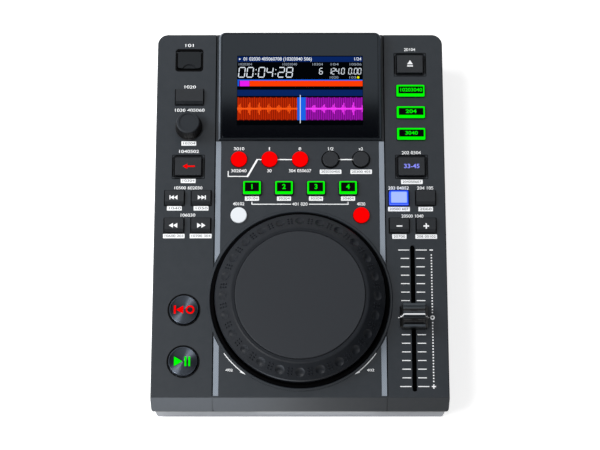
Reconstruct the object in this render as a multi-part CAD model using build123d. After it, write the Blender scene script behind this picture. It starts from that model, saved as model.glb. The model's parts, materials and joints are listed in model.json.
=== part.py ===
"""A tabletop player for disc jockeys: a flat console with a jog wheel, a colour screen on a
tilted riser, keys in three columns, a long pitch fader and a USB port under a flap.

Millimetres. X points right, Y points to the rear, Z points up. The origin is on the table,
under the middle of the case. The keys move down, the fader runs along Y, the jog wheel turns
about Z.
"""

import os
from math import atan2, cos, degrees, radians, sin, tan

from build123d import *

os.makedirs("parts", exist_ok=True)

# ---------------------------------------------------------------- case
case_width = 218.0
case_depth = 289.0
panel_top = 46.0  # height of the control surface over the table
panel_thickness = 2.5
wall = 2.5
split_height = 31.0  # where the upper housing meets the base
bevel_depth = 8.2  # how far the front slope leans back
bevel_foot = 1.5  # upright lip under the front slope
rear_corner_radius = 8.0
front_corner_radius = 1.5
top_edge_radius = 1.0
hood_depth = 8.0  # overhang of the upper housing over the rear sockets
hood_thickness = 2.0

base_wall = 2.2
base_floor = 2.0
base_inset_side = 1.8
base_inset_front = 0.4
foot_height = 3.0
foot_radius = 8.0
foot_seat = 0.6  # depth of the shallow pocket that holds a foot
foot_inset_x = 21.0
foot_inset_y = 26.0

clearance = 0.3  # between pieces that only pass or seat loosely

# ---------------------------------------------------------------- spaces between the groups
side_reach = 43.0  # from the jog wheel's well to the side of the case
column_width = 44.7  # control column between a trim channel and the side of the case
column_shift = 2.65  # how far the keys stand inwards of the column's middle
band_depth = 56.4  # band of keys between the riser and the well
well_front_margin = 6.9  # from the well to the front slope
transport_well_gap = 3.7  # from the well's flange to the collar of a transport key
fader_shift = 0.1  # outwards of the middle between the well and the screws
fader_front_margin = 1.8  # from the fader to the top of the front slope
fader_rear_margin = 6.1  # from the fader to the collars of the keys behind it

# ---------------------------------------------------------------- trim channels
channel_width = 4.95
channel_depth = 0.9
strip_thickness = 0.7
strip_side_gap = 0.15
strip_shadow_gap = 0.9  # dark line along the outer side of a strip
seam_width = 0.9
seam_depth = 0.5

# ---------------------------------------------------------------- screen riser
riser_side_border = 9.0  # from the display to the riser's side
riser_front_border = 4.9
riser_rear_border = 12.6
riser_rear_gap = 0.8  # from the riser to the rear of the case
riser_overhang = 2.4  # how far the riser reaches over the channel beside it
riser_front_rise = 1.8
riser_rear_rise = 8.0
riser_corner_radius = 5.0
riser_edge_radius = 1.7
riser_rim = 1.7  # border in front of the lens and behind it
riser_side_rim = 2.45  # border beside the lens
riser_ledge = 2.0  # shelf under the lens
lens_thickness = 1.2
lens_gap = 0.15
lcd_gap = 0.2  # from the lens to the display
lcd_side_border = 5.25  # from the picture to the display's edge
lcd_end_border = 6.65
lcd_thickness = 3.0
lcd_margin = 2.0  # from the display to the opening under it
lcd_frame = 0.5  # height of the metal frame round the glass

# ---------------------------------------------------------------- jog wheel
well_depth = 8.0
well_wall = 2.0
well_rise = 0.5  # rim of the well over the panel
well_floor = 2.0
well_flange = 4.0
well_flange_thickness = 2.0
lip_gap = 0.3
lip_width = 2.2
lip_rise = 0.9
jog_side_gap = 3.3  # from the rim to the well
jog_floor_gap = 2.5
jog_shoulder_rise = 9.0  # widest edge over the panel
jog_crown_rise = 16.6
jog_slope_run = 11.7
jog_skirt = 2.2
crown_width = 3.4  # flat ring round the plate
plate_thickness = 2.4
plate_rise = 0.7  # plate face over the crown
plate_gap = 0.35
plate_edge_radius = 0.5
web_thickness = 2.2
web_rib_count = 8
web_rib_thickness = 1.6
web_rib_depth = 5.0
hub_radius = 8.0
hub_drop = 2.0  # under the panel's surface
dimple_count = 24
dimple_radius = 6.5  # ball that scoops each finger dimple
dimple_sink = 1.4
shaft_radius = 3.0
shaft_tail = 1.4  # shaft under the slotted disc
shaft_plate_gap = 5.3  # from the shaft's end to the plate's face
running_gap = 0.05
bush_radius = 6.0
bush_flange_radius = 8.5
bush_flange = 1.2
bush_tail = 1.6  # bush under the control boards
bracket_radius = 24.0
bracket_thickness = 2.0
bracket_arm_width = 12.0
bracket_arm_inset = 22.0  # from the well to a bracket screw
bracket_angles = (90, 210, 330)
encoder_radius = 20.0
encoder_thickness = 0.8
encoder_height = 15.0
encoder_hub_radius = 5.5
encoder_hub_length = 4.0
encoder_slot_count = 36
encoder_slot_width = 1.0
encoder_slot_length = 3.2
encoder_slot_margin = 1.2

# ---------------------------------------------------------------- boards and switches
board_thickness = 1.6
board_drop = 20.4  # from the panel's surface to the control boards
side_board_inset = 1.7  # from the channel
side_board_side_inset = 9.0  # from the side of the case
side_board_rear_inset = 12.5
side_board_front_inset = 9.3
centre_board_inset = 0.65
centre_board_reach = 11.0  # past the first and last row of centre keys
main_board_top = 10.6
main_board_side_gap = 47.2
main_board_reach = 27.0  # in front of the jog wheel's axis
main_board_rear_gap = 1.0
post_radius = 2.2
post_inset = 3.5  # from a board's edge
front_post_reach = 21.0  # from the last row of small keys
switch_size = 6.0
switch_height = 3.5
switch_plunger_radius = 1.6
switch_plunger_rise = 0.8
stem_radius = 1.8
press_gap = 0.08  # left between stem and switch at the end of the travel

# ---------------------------------------------------------------- screws
screw_inset_side = 7.5
screw_inset_rear = 16.5
screw_inset_front = 7.0  # behind the top of the front slope
screw_middle_shift = 3.8  # behind the middle of the two rows of keys beside it
boss_radius = 4.5
upper_boss_radius = 3.5
screw_radius = 1.45
screw_head_radius = 2.75
screw_head_height = 2.0
screw_seat = 20.0  # height of the shoulder that the head pulls on
screw_length = 20.0
screw_slot = 0.6
board_screw_length = 6.0
board_screw_radius = 1.2
board_screw_head_radius = 2.4
board_screw_head_height = 1.4

# ---------------------------------------------------------------- keys
pair_offset = 10.0  # half the spacing of two keys side by side
key_gap = 0.35  # from a key to the edge of its opening
key_flange = 1.2  # how far the hidden collar reaches past the key
key_flange_thickness = 1.5
key_edge_radius = 0.5

round_key_radius = 6.0
round_key_rise = 1.8
round_key_travel = 0.6
transport_radius = 10.6
transport_gap = 0.7
transport_rise = 1.6
transport_travel = 1.2
transport_rim = 0.8
pad_width = 14.1
pad_depth = 11.0
pad_rise = 2.2
pad_travel = 1.0
pad_corner = 1.2
mode_width = 21.6
mode_depth = 9.6
mode_rise = 1.4
mode_travel = 0.6
mode_corner = 1.0
framed_width = 19.8
framed_depth = 14.0
framed_rise = 1.6
framed_travel = 0.8
framed_corner = 0.6
frame_border = 2.0  # sunk border round a framed key
frame_sink = 1.1
small_width = 14.0
small_depth = 10.6
small_rise = 2.6
small_travel = 0.6
small_corner = 0.5
wide_width = 20.6
wide_depth = 11.6
slope_run = 2.2  # front slope of a small or wide key
slope_drop = 1.8

loop_inset = 14.8  # from the riser to the round keys
loop_side_inset = 13.35  # from the channel to the outermost round key
cue_step = 22.5  # from the round keys to the pads
cue_side_inset = 23.35
shift_step = 21.1
shift_side_inset = 13.55
port_inset = 20.9  # from the rear of the case to the middle of the USB port
back_step = 30.0
knob_step = 24.1
direction_step = 31.0
track_step = 24.5
search_step = 21.3
eject_inset = 24.5
mode_step = 21.4
mode_pitch = 17.2
cue_key_drop = 8.1  # in front of the jog wheel's axis
play_step = 38.5

# ---------------------------------------------------------------- select knob
knob_radius = 10.2
knob_top_radius = 8.6
knob_lift = 0.6  # over the panel
knob_height = 13.4
knob_edge_radius = 1.0
knob_dish = 0.6
knob_flute_count = 30
knob_flute_radius = 0.45
knob_socket = 9.0  # depth of the shaft hole in the knob
encoder_body_size = 12.0
encoder_body_height = 6.5
encoder_bushing_radius = 3.6
encoder_bushing_height = 5.0
select_shaft_radius = 3.0
select_shaft_flat = 1.4
select_travel = 0.5
select_plunger_radius = 2.6
select_plunger_thickness = 0.7

# ---------------------------------------------------------------- pitch fader
fader_slot_width = 3.4
fader_lever_width = 1.6
fader_lever_depth = 5.0
fader_end_gap = 2.4  # slot left past the lever at each end
fader_body_width = 14.0
fader_body_height = 10.0
fader_body_wall = 1.0
fader_carriage_width = 10.4
fader_carriage_depth = 9.0
fader_carriage_height = 4.6
fader_rod_radius = 1.2
fader_rod_offset = 3.2
fader_end_wall = 1.4
fader_cap_width = 17.6  # at its underside
fader_cap_top_width = 15.2  # along the ridge
fader_cap_depth = 18.4
fader_cap_lift = 0.8  # over the panel
fader_cap_skirt = 3.2
fader_cap_skirt_width = 20.4
fader_cap_lip = 9.8  # end lips over the underside
fader_cap_ridge = 12.2
fader_cap_dish = 8.0
fader_cap_wall = 1.2
fader_line_width = 0.9
fader_line_depth = 0.3

# ---------------------------------------------------------------- USB port and flap
port_shift = 0.6  # outwards of the column's keys
port_frame_width = 21.0
port_frame_depth = 18.0
port_frame_corner = 2.2
port_frame_wall = 1.2
port_sink = 5.4  # from the panel's surface to the port's floor
port_floor = 1.2
port_flange = 1.2  # rim under the panel, both its reach and its thickness
port_mouth_width = 15.0
port_mouth_depth = 7.6
flap_width = 17.6
flap_thickness = 1.8
flap_rear_gap = 0.6
flap_front_gap = 1.4
flap_corner = 1.8
flap_rise = 0.2  # over the panel
flap_notch_width = 10.4
flap_notch_radius = 5.9
flap_pin_radius = 0.7
flap_pin_gap = 0.1
flap_rest_width = 1.3  # side rails that the closed flap lies on
flap_rest_gap = 0.05
flap_pin_depth = 0.7  # how far a pin reaches into the side wall
usb_shell_width = 13.1
usb_shell_depth = 5.7
usb_shell_wall = 0.35
usb_lip = 0.2  # how far the shell stands into the mouth
usb_tongue_width = 11.1
usb_tongue_depth = 1.9

# ---------------------------------------------------------------- rear sockets
power_x = -52.0
dc_x = -32.0
usb_b_x = -8.0
rca_x = 37.0
rca_pitch = 14.0
rca_barrel_radius = 4.15
rca_barrel_length = 7.6
rca_collar_radius = 5.2
rca_collar_rise = 0.6  # past the rear of the case
rca_pin_hole_radius = 1.65
rca_pin_hole_depth = 9.0
rca_body_width = 28.0
rca_body_depth = 10.0
rca_body_height = 13.0
rca_axis_rise = 7.0  # over the main board
usb_b_width = 12.0
usb_b_height = 10.9
usb_b_depth = 16.0
usb_b_mouth_width = 8.5
usb_b_mouth_height = 7.8
usb_b_mouth_depth = 9.0
usb_b_tongue_width = 5.6
usb_b_tongue_height = 3.2
dc_width = 9.0
dc_height = 11.0
dc_depth = 14.0
dc_hole_radius = 2.9
dc_hole_depth = 9.5
dc_pin_radius = 1.0
dc_axis_rise = 6.5
power_width = 8.0
power_height = 6.0
power_reach = 3.0
power_travel = 1.8
power_axis_rise = 6.0
power_body = 10.0
power_plug = 6.0

# ---------------------------------------------------------------- derived places
# Across: the columns keep their width, and what stands between them takes the rest.
channel_outer = case_width / 2 - column_width
channel_inner = channel_outer - channel_width
riser_width = 2 * (channel_inner + riser_overhang)
lcd_width = riser_width - 2 * riser_side_border
screen_active_width = lcd_width - 2 * lcd_side_border
well_radius = case_width / 2 - side_reach
column_x = (channel_outer + case_width / 2) / 2 - column_shift
transport_x = well_radius + well_flange + transport_well_gap + key_flange + transport_radius
boss_side = case_width / 2 - screw_inset_side - boss_radius
fader_x = (well_radius + well_flange + boss_side) / 2 + fader_shift
port_x = -column_x - port_shift
loop_pitch = (channel_inner - loop_side_inset) / 2
cue_pitch = (channel_inner - cue_side_inset) / 1.5
shift_x = channel_inner - shift_side_inset

# Along: the wheel stands at the front, its keys behind it, and the riser takes the rest.
y_rear = case_depth / 2
y_front = -case_depth / 2
base_rear = y_rear - hood_depth
bevel_top_y = y_front + bevel_depth
jog_y = bevel_top_y + well_front_margin + well_radius
riser_front = jog_y + well_radius + band_depth
riser_rear = y_rear - riser_rear_gap
lcd_depth = riser_rear - riser_front - riser_front_border - riser_rear_border
screen_active_depth = lcd_depth - 2 * lcd_end_border
screen_centre = riser_front + riser_front_border + lcd_depth / 2
loop_row = riser_front - loop_inset
cue_row = loop_row - cue_step
shift_row = cue_row - shift_step
port_y = y_rear - port_inset
back_row = port_y - back_step
knob_row = back_row - knob_step
direction_row = knob_row - direction_step
track_row = direction_row - track_step
search_row = track_row - search_step
eject_row = y_rear - eject_inset
mode_row = eject_row - mode_step
cue_key_row = jog_y - cue_key_drop
play_key_row = cue_key_row - play_step
fader_front_end = bevel_top_y + fader_front_margin
fader_rear_end = search_row - small_depth / 2 - key_flange - fader_rear_margin
fader_ends = fader_end_wall + fader_body_wall
fader_travel = (fader_rear_end - fader_front_end - fader_lever_depth) / 2 - fader_end_gap - fader_ends
fader_slot_length = 2 * (fader_travel + fader_lever_depth / 2 + fader_end_gap)
fader_body_length = fader_slot_length + 2 * fader_ends
fader_y = (fader_front_end + fader_rear_end) / 2

# Upwards: what stands on, in or under the panel follows its surface.
panel_under = panel_top - panel_thickness
control_board_top = panel_top - board_drop
well_floor_top = panel_top - well_depth
jog_radius = well_radius - jog_side_gap
jog_skirt_bottom = well_floor_top + jog_floor_gap
jog_shoulder = panel_top + jog_shoulder_rise
jog_crown_radius = jog_radius - jog_slope_run
jog_crown = panel_top + jog_crown_rise
plate_radius = jog_crown_radius - crown_width
hub_bottom = panel_top - hub_drop
shaft_bottom = encoder_height - shaft_tail
shaft_top = jog_crown + plate_rise - shaft_plate_gap
bush_bottom = control_board_top - bush_tail
bracket_arm_reach = well_radius - bracket_arm_inset
knob_bottom = panel_top + knob_lift
knob_top = knob_bottom + knob_height
fader_cap_bottom = panel_top + fader_cap_lift
port_floor_top = panel_top - port_sink
flap_top = panel_top + flap_rise

base_half_width = case_width / 2 - base_inset_side
base_front = y_front + base_inset_front
main_board_half = base_half_width - main_board_side_gap
riser_tilt = degrees(atan2(riser_rear_rise - riser_front_rise, riser_rear - riser_front))
switch_top = control_board_top + switch_height + switch_plunger_rise
well_hole_radius = well_radius + lip_gap
fader_body_bottom = panel_under - fader_body_height
side_board_inner = channel_outer + side_board_inset
side_board_outer = case_width / 2 - side_board_side_inset
side_board_rear = y_rear - side_board_rear_inset
side_board_front = bevel_top_y + side_board_front_inset
centre_board_half = channel_inner + centre_board_inset
main_board_front = jog_y - main_board_reach
plate_bottom = jog_crown + plate_rise - plate_thickness
flap_depth = port_frame_depth - 2 * port_frame_wall - flap_rear_gap - flap_front_gap
flap_pivot_y = port_y + port_frame_depth / 2 - port_frame_wall - flap_rear_gap - flap_thickness / 2
flap_pivot_z = flap_top - flap_thickness / 2
flap_pin_span = port_frame_width - 2 * port_frame_wall + 2 * flap_pin_depth

# Each key: kind, X, Y. The kinds are described by key_outline and KEY_FORM below.
KEYS = {
    "back_button": ("wide", -column_x, back_row),
    "direction_button": ("framed", -column_x, direction_row),
    "track_back_button": ("small", -column_x - pair_offset, track_row),
    "track_next_button": ("small", -column_x + pair_offset, track_row),
    "search_back_button": ("small", -column_x - pair_offset, search_row),
    "search_forward_button": ("small", -column_x + pair_offset, search_row),
    "cue_button": ("transport", -transport_x, cue_key_row),
    "play_button": ("transport", -transport_x, play_key_row),
    "auto_loop_button": ("round", -2 * loop_pitch, loop_row),
    "loop_in_button": ("round", -loop_pitch, loop_row),
    "loop_out_button": ("round", 0.0, loop_row),
    "loop_half_button": ("round", loop_pitch, loop_row),
    "loop_double_button": ("round", 2 * loop_pitch, loop_row),
    "hot_cue_1_button": ("pad", -1.5 * cue_pitch, cue_row),
    "hot_cue_2_button": ("pad", -0.5 * cue_pitch, cue_row),
    "hot_cue_3_button": ("pad", 0.5 * cue_pitch, cue_row),
    "hot_cue_4_button": ("pad", 1.5 * cue_pitch, cue_row),
    "shift_button": ("round", -shift_x, shift_row),
    "slip_button": ("round", shift_x, shift_row),
    "eject_button": ("framed", column_x, eject_row),
    "settings_button": ("mode", column_x, mode_row),
    "source_button": ("mode", column_x, mode_row - mode_pitch),
    "control_mode_button": ("mode", column_x, mode_row - 2 * mode_pitch),
    "jog_mode_button": ("framed", column_x, direction_row),
    "key_lock_button": ("small", column_x - pair_offset, track_row),
    "tempo_tap_button": ("small", column_x + pair_offset, track_row),
    "bend_down_button": ("small", column_x - pair_offset, search_row),
    "bend_up_button": ("small", column_x + pair_offset, search_row),
}

# Rise over the panel and travel of each kind of key.
KEY_FORM = {
    "round": (round_key_rise, round_key_travel),
    "transport": (transport_rise, transport_travel),
    "pad": (pad_rise, pad_travel),
    "mode": (mode_rise, mode_travel),
    "framed": (framed_rise, framed_travel),
    "small": (small_rise, small_travel),
    "wide": (small_rise, small_travel),
}


# ---------------------------------------------------------------- helpers
def at(x, y, z):
    """A location without rotation."""
    return Location((x, y, z))


def upright(outline, bottom, top):
    """A prism on a flat outline, from one height to another."""
    return at(0, 0, bottom) * extrude(outline, top - bottom)


def block(x0, x1, y0, y1, z0, z1):
    """A box given by its faces."""
    return at((x0 + x1) / 2, (y0 + y1) / 2, (z0 + z1) / 2) * Box(x1 - x0, y1 - y0, z1 - z0)


def drum(x, y, radius, bottom, top):
    """An upright cylinder."""
    return at(x, y, (bottom + top) / 2) * Cylinder(radius, top - bottom)


def side_prism(points, half_width):
    """A prism across X from a closed outline of (Y, Z) points."""
    face = Plane.YZ * make_face(Polyline(*points, close=True))
    return extrude(face, half_width, both=True)


def ring_of(count, radius, angle=0.0):
    """Locations round the Z axis."""
    return PolarLocations(radius, count, angle)


def save(name, shape):
    """Write one sub-part, named for its node."""
    shape.label = name
    export_step(shape, f"parts/{name}.step")


def slab_edges(shape, height):
    """The edges of a shape that lie in one level plane."""
    return shape.edges().filter_by_position(Axis.Z, height, height)


def key_outline(kind, grow=0.0):
    """Flat outline of a key, grown evenly on all sides."""
    if kind == "round":
        return Circle(round_key_radius + grow)
    if kind == "transport":
        return Circle(transport_radius + grow)
    width, depth, corner = {
        "pad": (pad_width, pad_depth, pad_corner),
        "mode": (mode_width, mode_depth, mode_corner),
        "framed": (framed_width, framed_depth, framed_corner),
        "small": (small_width, small_depth, small_corner),
        "wide": (wide_width, wide_depth, small_corner),
    }[kind]
    return RectangleRounded(width + 2 * grow, depth + 2 * grow, corner + grow)


def key_hole_gap(kind):
    """Gap between a key and the edge of its opening."""
    return transport_gap if kind == "transport" else key_gap


def case_plan(inset, front_inset=None):
    """Outline of the case seen from above, drawn in by a wall."""
    front_inset = inset if front_inset is None else front_inset
    depth = case_depth - inset - front_inset
    middle = (front_inset - inset) / 2
    outline = Pos(0, middle) * Rectangle(case_width - 2 * inset, depth)
    rear = outline.vertices().sort_by(Axis.Y)[-2:]
    outline = fillet(rear, max(rear_corner_radius - inset, 0.5))
    front = outline.vertices().sort_by(Axis.Y)[:2]
    return fillet(front, max(front_corner_radius - inset, 0.4))


# ---------------------------------------------------------------- housings
def bevel_cutter(inset):
    """What the front slope takes off a block, with the slope moved inwards."""
    rise = panel_top - split_height - bevel_foot
    slope = atan2(rise, bevel_depth)
    shift = inset / sin(slope)
    reach = 40.0
    foot = split_height + bevel_foot
    low = (y_front + shift - reach / tan(slope), foot - reach)
    high = (bevel_top_y + shift + reach / tan(slope), panel_top + reach)
    return side_prism([low, high, (y_front - 2 * reach, high[1]), (y_front - 2 * reach, low[1])], case_width)


def upper_shell():
    """The hollow of the upper housing, before its openings."""
    shell = upright(case_plan(0), split_height, panel_top) - bevel_cutter(0)
    top = slab_edges(shell, panel_top)
    shell = fillet(top, top_edge_radius)
    hollow = upright(case_plan(wall), split_height - 1, panel_under) - bevel_cutter(wall)
    hood = block(-case_width / 2 + wall / 2, case_width / 2 - wall / 2,
                 base_rear + clearance, y_rear - wall / 2, split_height, split_height + hood_thickness)
    return shell - hollow + hood.intersect(upright(case_plan(wall / 2), split_height, panel_top))


def side_channels():
    """Grooves that take the trim strips, and the seams that carry on down the front slope."""
    cuts = []
    for side in (1, -1):
        x0, x1 = sorted((side * channel_inner, side * channel_outer))
        cuts.append(block(x0, x1, bevel_top_y + channel_depth, y_rear + 1,
                          panel_top - channel_depth, panel_top + 1))
        seam = side * (channel_outer - seam_width / 2)
        slope = bevel_cutter(seam_depth) & block(seam - seam_width / 2, seam + seam_width / 2,
                                                 y_front - 1, bevel_top_y + 2,
                                                 split_height + bevel_foot, panel_top + 1)
        cuts.append(slope)
        cuts.append(block(seam - seam_width / 2, seam + seam_width / 2,
                          bevel_top_y + channel_depth, y_rear + 1,
                          panel_top - channel_depth - seam_depth, panel_top))
    return cuts


def top_housing():
    body = upper_shell() - side_channels()
    body += drum(0, jog_y, well_hole_radius + lip_width, panel_under, panel_top + lip_rise)
    body -= drum(0, jog_y, well_hole_radius, split_height, panel_top + lip_rise + 1)
    lip = body.edges().filter_by(GeomType.CIRCLE).filter_by_position(
        Axis.Z, panel_top + lip_rise, panel_top + lip_rise)
    body = chamfer(lip, lip_rise * 0.6)

    posts = [drum(x, y, post_radius, control_board_top, panel_under) for x, y in board_posts()]
    bosses = [drum(x, y, upper_boss_radius, split_height, panel_under) for x, y in screw_places()]
    body = body + posts + bosses
    return body - panel_openings() - panel_screw_holes()


def panel_openings():
    """What the keys, the knob, the fader, the port and the display need in the panel."""
    cuts = []
    for kind, x, y in KEYS.values():
        hole = key_outline(kind, key_hole_gap(kind))
        cuts.append(at(x, y, 0) * upright(hole, panel_under - 1, panel_top + 1))
        if kind == "framed":
            sink = key_outline(kind, frame_border)
            cuts.append(at(x, y, 0) * upright(sink, panel_top - frame_sink, panel_top + 1))
    knob_hole = encoder_bushing_radius + clearance
    cuts.append(drum(-column_x, knob_row, knob_hole, panel_under - 1, panel_top + 1))
    fader_slot = SlotOverall(fader_slot_length, fader_slot_width, rotation=90)
    cuts.append(at(fader_x, fader_y, 0) * upright(fader_slot, panel_under - 1, panel_top + 1))
    port_hole = port_outline(clearance / 2)
    cuts.append(at(port_x, port_y, 0) * upright(port_hole, panel_under - 1, panel_top + 1))
    half = lcd_depth / 2 + lcd_margin
    cuts.append(block(-lcd_width / 2 - lcd_margin, lcd_width / 2 + lcd_margin,
                      screen_centre - half, screen_centre + half, panel_under - 1, panel_top + 1))
    return cuts


def panel_screw_holes():
    thread_end = control_board_top + board_screw_length
    small = [drum(x, y, board_screw_radius, control_board_top - 1, thread_end) for x, y in board_posts()]
    large = [drum(x, y, screw_radius, split_height - 1, screw_seat + screw_length + 1)
             for x, y in screw_places()]
    return small + large


def screw_places():
    x = case_width / 2 - screw_inset_side
    middle = (direction_row + track_row) / 2 + screw_middle_shift
    rows = (y_rear - screw_inset_rear, middle, bevel_top_y + screw_inset_front)
    return [(side * x, y) for y in rows for side in (1, -1)]


def board_posts():
    last_mode_row = mode_row - 2 * mode_pitch
    rows = (mode_row - mode_pitch / 2, (last_mode_row + direction_row) / 2,
            search_row - front_post_reach, play_key_row - post_inset)
    side_x = side_board_inner + post_inset
    posts = [(side * side_x, y) for y in rows for side in (1, -1)]
    centre_x = centre_board_half - post_inset
    return posts + [(side * centre_x, (loop_row + shift_row) / 2) for side in (1, -1)]


def foot_places():
    x = base_half_width - foot_inset_x + foot_radius / 2
    rear = base_rear - foot_inset_y
    front = base_front + foot_inset_y
    return [(sx * x, y) for sx in (1, -1) for y in (rear, front)]


def base_plan(inset):
    """Outline of the base seen from above."""
    depth = base_rear - base_front - 2 * inset
    outline = Pos(0, (base_rear + base_front) / 2) * Rectangle(2 * (base_half_width - inset), depth)
    rear = outline.vertices().sort_by(Axis.Y)[-2:]
    outline = fillet(rear, max(rear_corner_radius - base_inset_side - inset, 0.5))
    front = outline.vertices().sort_by(Axis.Y)[:2]
    return fillet(front, max(front_corner_radius - inset, 0.4))


def base_housing():
    floor_top = foot_height + base_floor
    body = upright(base_plan(0), foot_height, split_height)
    body = fillet(slab_edges(body, foot_height), top_edge_radius)
    body -= upright(base_plan(base_wall), floor_top, split_height + 1)
    within = upright(base_plan(base_wall / 2), foot_height, split_height)
    bosses = [drum(x, y, boss_radius, floor_top - 1, split_height) & within for x, y in screw_places()]
    pillars = [drum(x, y, post_radius, floor_top - 1, main_board_top - board_thickness)
               for x, y in main_board_pillars()]
    cuts = rear_openings()
    for x, y in screw_places():
        cuts.append(drum(x, y, screw_head_radius + clearance, foot_height - 1, screw_seat))
        cuts.append(drum(x, y, screw_radius + clearance, screw_seat - 1, split_height + 1))
    for x, y in foot_places():
        cuts.append(drum(x, y, foot_radius + clearance / 2, foot_height - 1, foot_height + foot_seat))
    return body + bosses + pillars - cuts


def main_board_pillars():
    reach = main_board_half - 6
    return [(sx * reach, y) for sx in (1, -1) for y in (main_board_front + 6, 20.0, base_rear - 24)]


def rear_wall_cut(x, width, z0, z1):
    """A rectangular opening in the base's rear wall."""
    return block(x - width / 2, x + width / 2, base_rear - base_wall - 1, base_rear + 1, z0, z1)


def rear_openings():
    cuts = [
        rear_wall_cut(usb_b_x, usb_b_width + 2 * clearance, main_board_top - clearance,
                      main_board_top + usb_b_height + clearance),
        rear_wall_cut(dc_x, dc_width + 2 * clearance, main_board_top - clearance,
                      main_board_top + dc_height + clearance),
        rear_wall_cut(power_x, power_width + 2 * clearance,
                      main_board_top + power_axis_rise - power_height / 2 - clearance,
                      main_board_top + power_axis_rise + power_height / 2 + clearance),
    ]
    for x in rca_places():
        cuts.append(at(x, base_rear - base_wall / 2, main_board_top + rca_axis_rise)
                    * Rot(90, 0, 0) * Cylinder(rca_collar_radius + clearance, base_wall + 2))
    return cuts


# ---------------------------------------------------------------- trim and feet
def trim_strips():
    """Four inlaid bars, cut off round the jog wheel's lip."""
    bars = Part()
    for side in (1, -1):
        x0, x1 = sorted((side * (channel_inner + strip_side_gap),
                         side * (channel_outer - strip_shadow_gap)))
        bottom = panel_top - channel_depth
        bars += block(x0, x1, bevel_top_y + channel_depth + strip_side_gap, riser_front - 0.5,
                      bottom, bottom + strip_thickness)
    ring = drum(0, jog_y, well_hole_radius + lip_width + 0.6, panel_under, panel_top + 1)
    return bars - ring


def rubber_feet():
    feet = Part()
    for x, y in foot_places():
        foot = drum(x, y, foot_radius, 0, foot_height + foot_seat)
        feet += fillet(slab_edges(foot, 0), 0.8)
    return feet


def screw(x, y, seat, head_radius, head_height, shank_radius, length):
    """A slotted screw driven upwards: its head lies under the seat, its shank above."""
    head = drum(x, y, head_radius, seat - head_height, seat)
    head -= block(x - head_radius, x + head_radius, y - screw_slot / 2, y + screw_slot / 2,
                  seat - head_height, seat - head_height * 0.6)
    return head + drum(x, y, shank_radius, seat - head_height * 0.4, seat + length)


def screws():
    """Case screws from below, and the short ones of the control boards and the bracket."""
    group = Part()
    for x, y in screw_places():
        group += screw(x, y, screw_seat, screw_head_radius, screw_head_height,
                       screw_radius - running_gap, screw_length)
    small = (board_screw_head_radius, board_screw_head_height, board_screw_radius - running_gap)
    for x, y in board_posts():
        seat = control_board_top - board_thickness
        group += screw(x, y, seat, *small, board_thickness + board_screw_length - clearance)
    for x, y in bracket_screw_places():
        seat = well_floor_top - well_floor - bracket_thickness
        group += screw(x, y, seat, *small, bracket_thickness + well_floor - clearance)
    return group


# ---------------------------------------------------------------- screen
def riser_top(y):
    """Height of the riser's sloping top at a given Y."""
    return panel_top + riser_front_rise + (y - riser_front) * tan(radians(riser_tilt))


def riser_plane(y, sink=0.0):
    """A plane on the slope, its X across and its Y up the slope."""
    turn = Rot(riser_tilt, 0, 0)
    return at(0, y, riser_top(y)) * turn * at(0, 0, -sink)


def lens_outline(grow=0.0):
    width = riser_width - 2 * riser_side_rim + 2 * grow
    depth = (riser_rear - riser_front) / cos(radians(riser_tilt)) - 2 * riser_rim + 2 * grow
    corner = riser_corner_radius - riser_rim
    return RectangleRounded(width, depth, corner + grow)


def screen_bezel():
    """The sloping riser: a rim, a ledge for the lens and open inside."""
    middle = (riser_front + riser_rear) / 2
    wedge = side_prism([(riser_front, panel_top), (riser_front, riser_top(riser_front)),
                        (riser_rear, riser_top(riser_rear)), (riser_rear, panel_top)], riser_width / 2)
    uprights = wedge.edges().filter_by(Axis.Z).sort_by(Axis.Y)[-2:]
    wedge = fillet(uprights, riser_corner_radius)
    crown = wedge.faces().filter_by(lambda f: f.normal_at().Z > 0.9).sort_by(Axis.Z)[-1]
    wedge = fillet(crown.edges(), riser_edge_radius)
    seat = riser_plane(middle, lens_thickness) * extrude(lens_outline(lens_gap), lens_thickness + 3)
    inner_width = riser_width - 2 * (riser_side_rim + riser_ledge)
    inner_depth = riser_rear - riser_front - 2 * (riser_rim + riser_ledge)
    hollow = at(0, middle, panel_top - 1) * extrude(Rectangle(inner_width, inner_depth), 20)
    return wedge - seat - hollow


def screen_lens():
    middle = (riser_front + riser_rear) / 2
    lens = riser_plane(middle, lens_thickness) * extrude(lens_outline(), lens_thickness)
    rim = lens.faces().sort_by(lambda f: f.center().Z)[-1]
    return fillet(rim.edges(), 0.3)


def lcd_module():
    """A flat display with a metal frame, tilted behind the lens."""
    sink = lens_thickness + lcd_gap
    seat = riser_plane(screen_centre, sink)
    body = seat * at(0, 0, -lcd_thickness / 2) * Box(lcd_width, lcd_depth, lcd_thickness)
    window = seat * at(0, 0, -lcd_frame / 2) * Box(
        screen_active_width + 2, screen_active_depth + 2, lcd_frame)
    return body - window


# ---------------------------------------------------------------- jog wheel
def revolved(points, x, y):
    """A solid of revolution about an upright axis, from (radius, height) points."""
    face = Plane.XZ * make_face(Polyline(*points, close=True))
    return at(x, y, 0) * revolve(face, Axis.Z)


def jog_well():
    top = panel_top + well_rise
    inner = well_radius - well_wall
    bottom = well_floor_top - well_floor
    flange_top = panel_under
    outline = [
        (bush_radius + running_gap, bottom), (well_radius, bottom),
        (well_radius, flange_top - well_flange_thickness),
        (well_radius + well_flange, flange_top - well_flange_thickness),
        (well_radius + well_flange, flange_top), (well_radius, flange_top),
        (well_radius, top), (inner, top), (inner, well_floor_top),
        (bush_radius + running_gap, well_floor_top),
    ]
    well = revolved(outline, 0, jog_y)
    for x, y in bracket_screw_places():
        well -= drum(x, y, board_screw_radius, bottom - 1, bottom + well_floor - clearance / 2)
    return well


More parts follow.
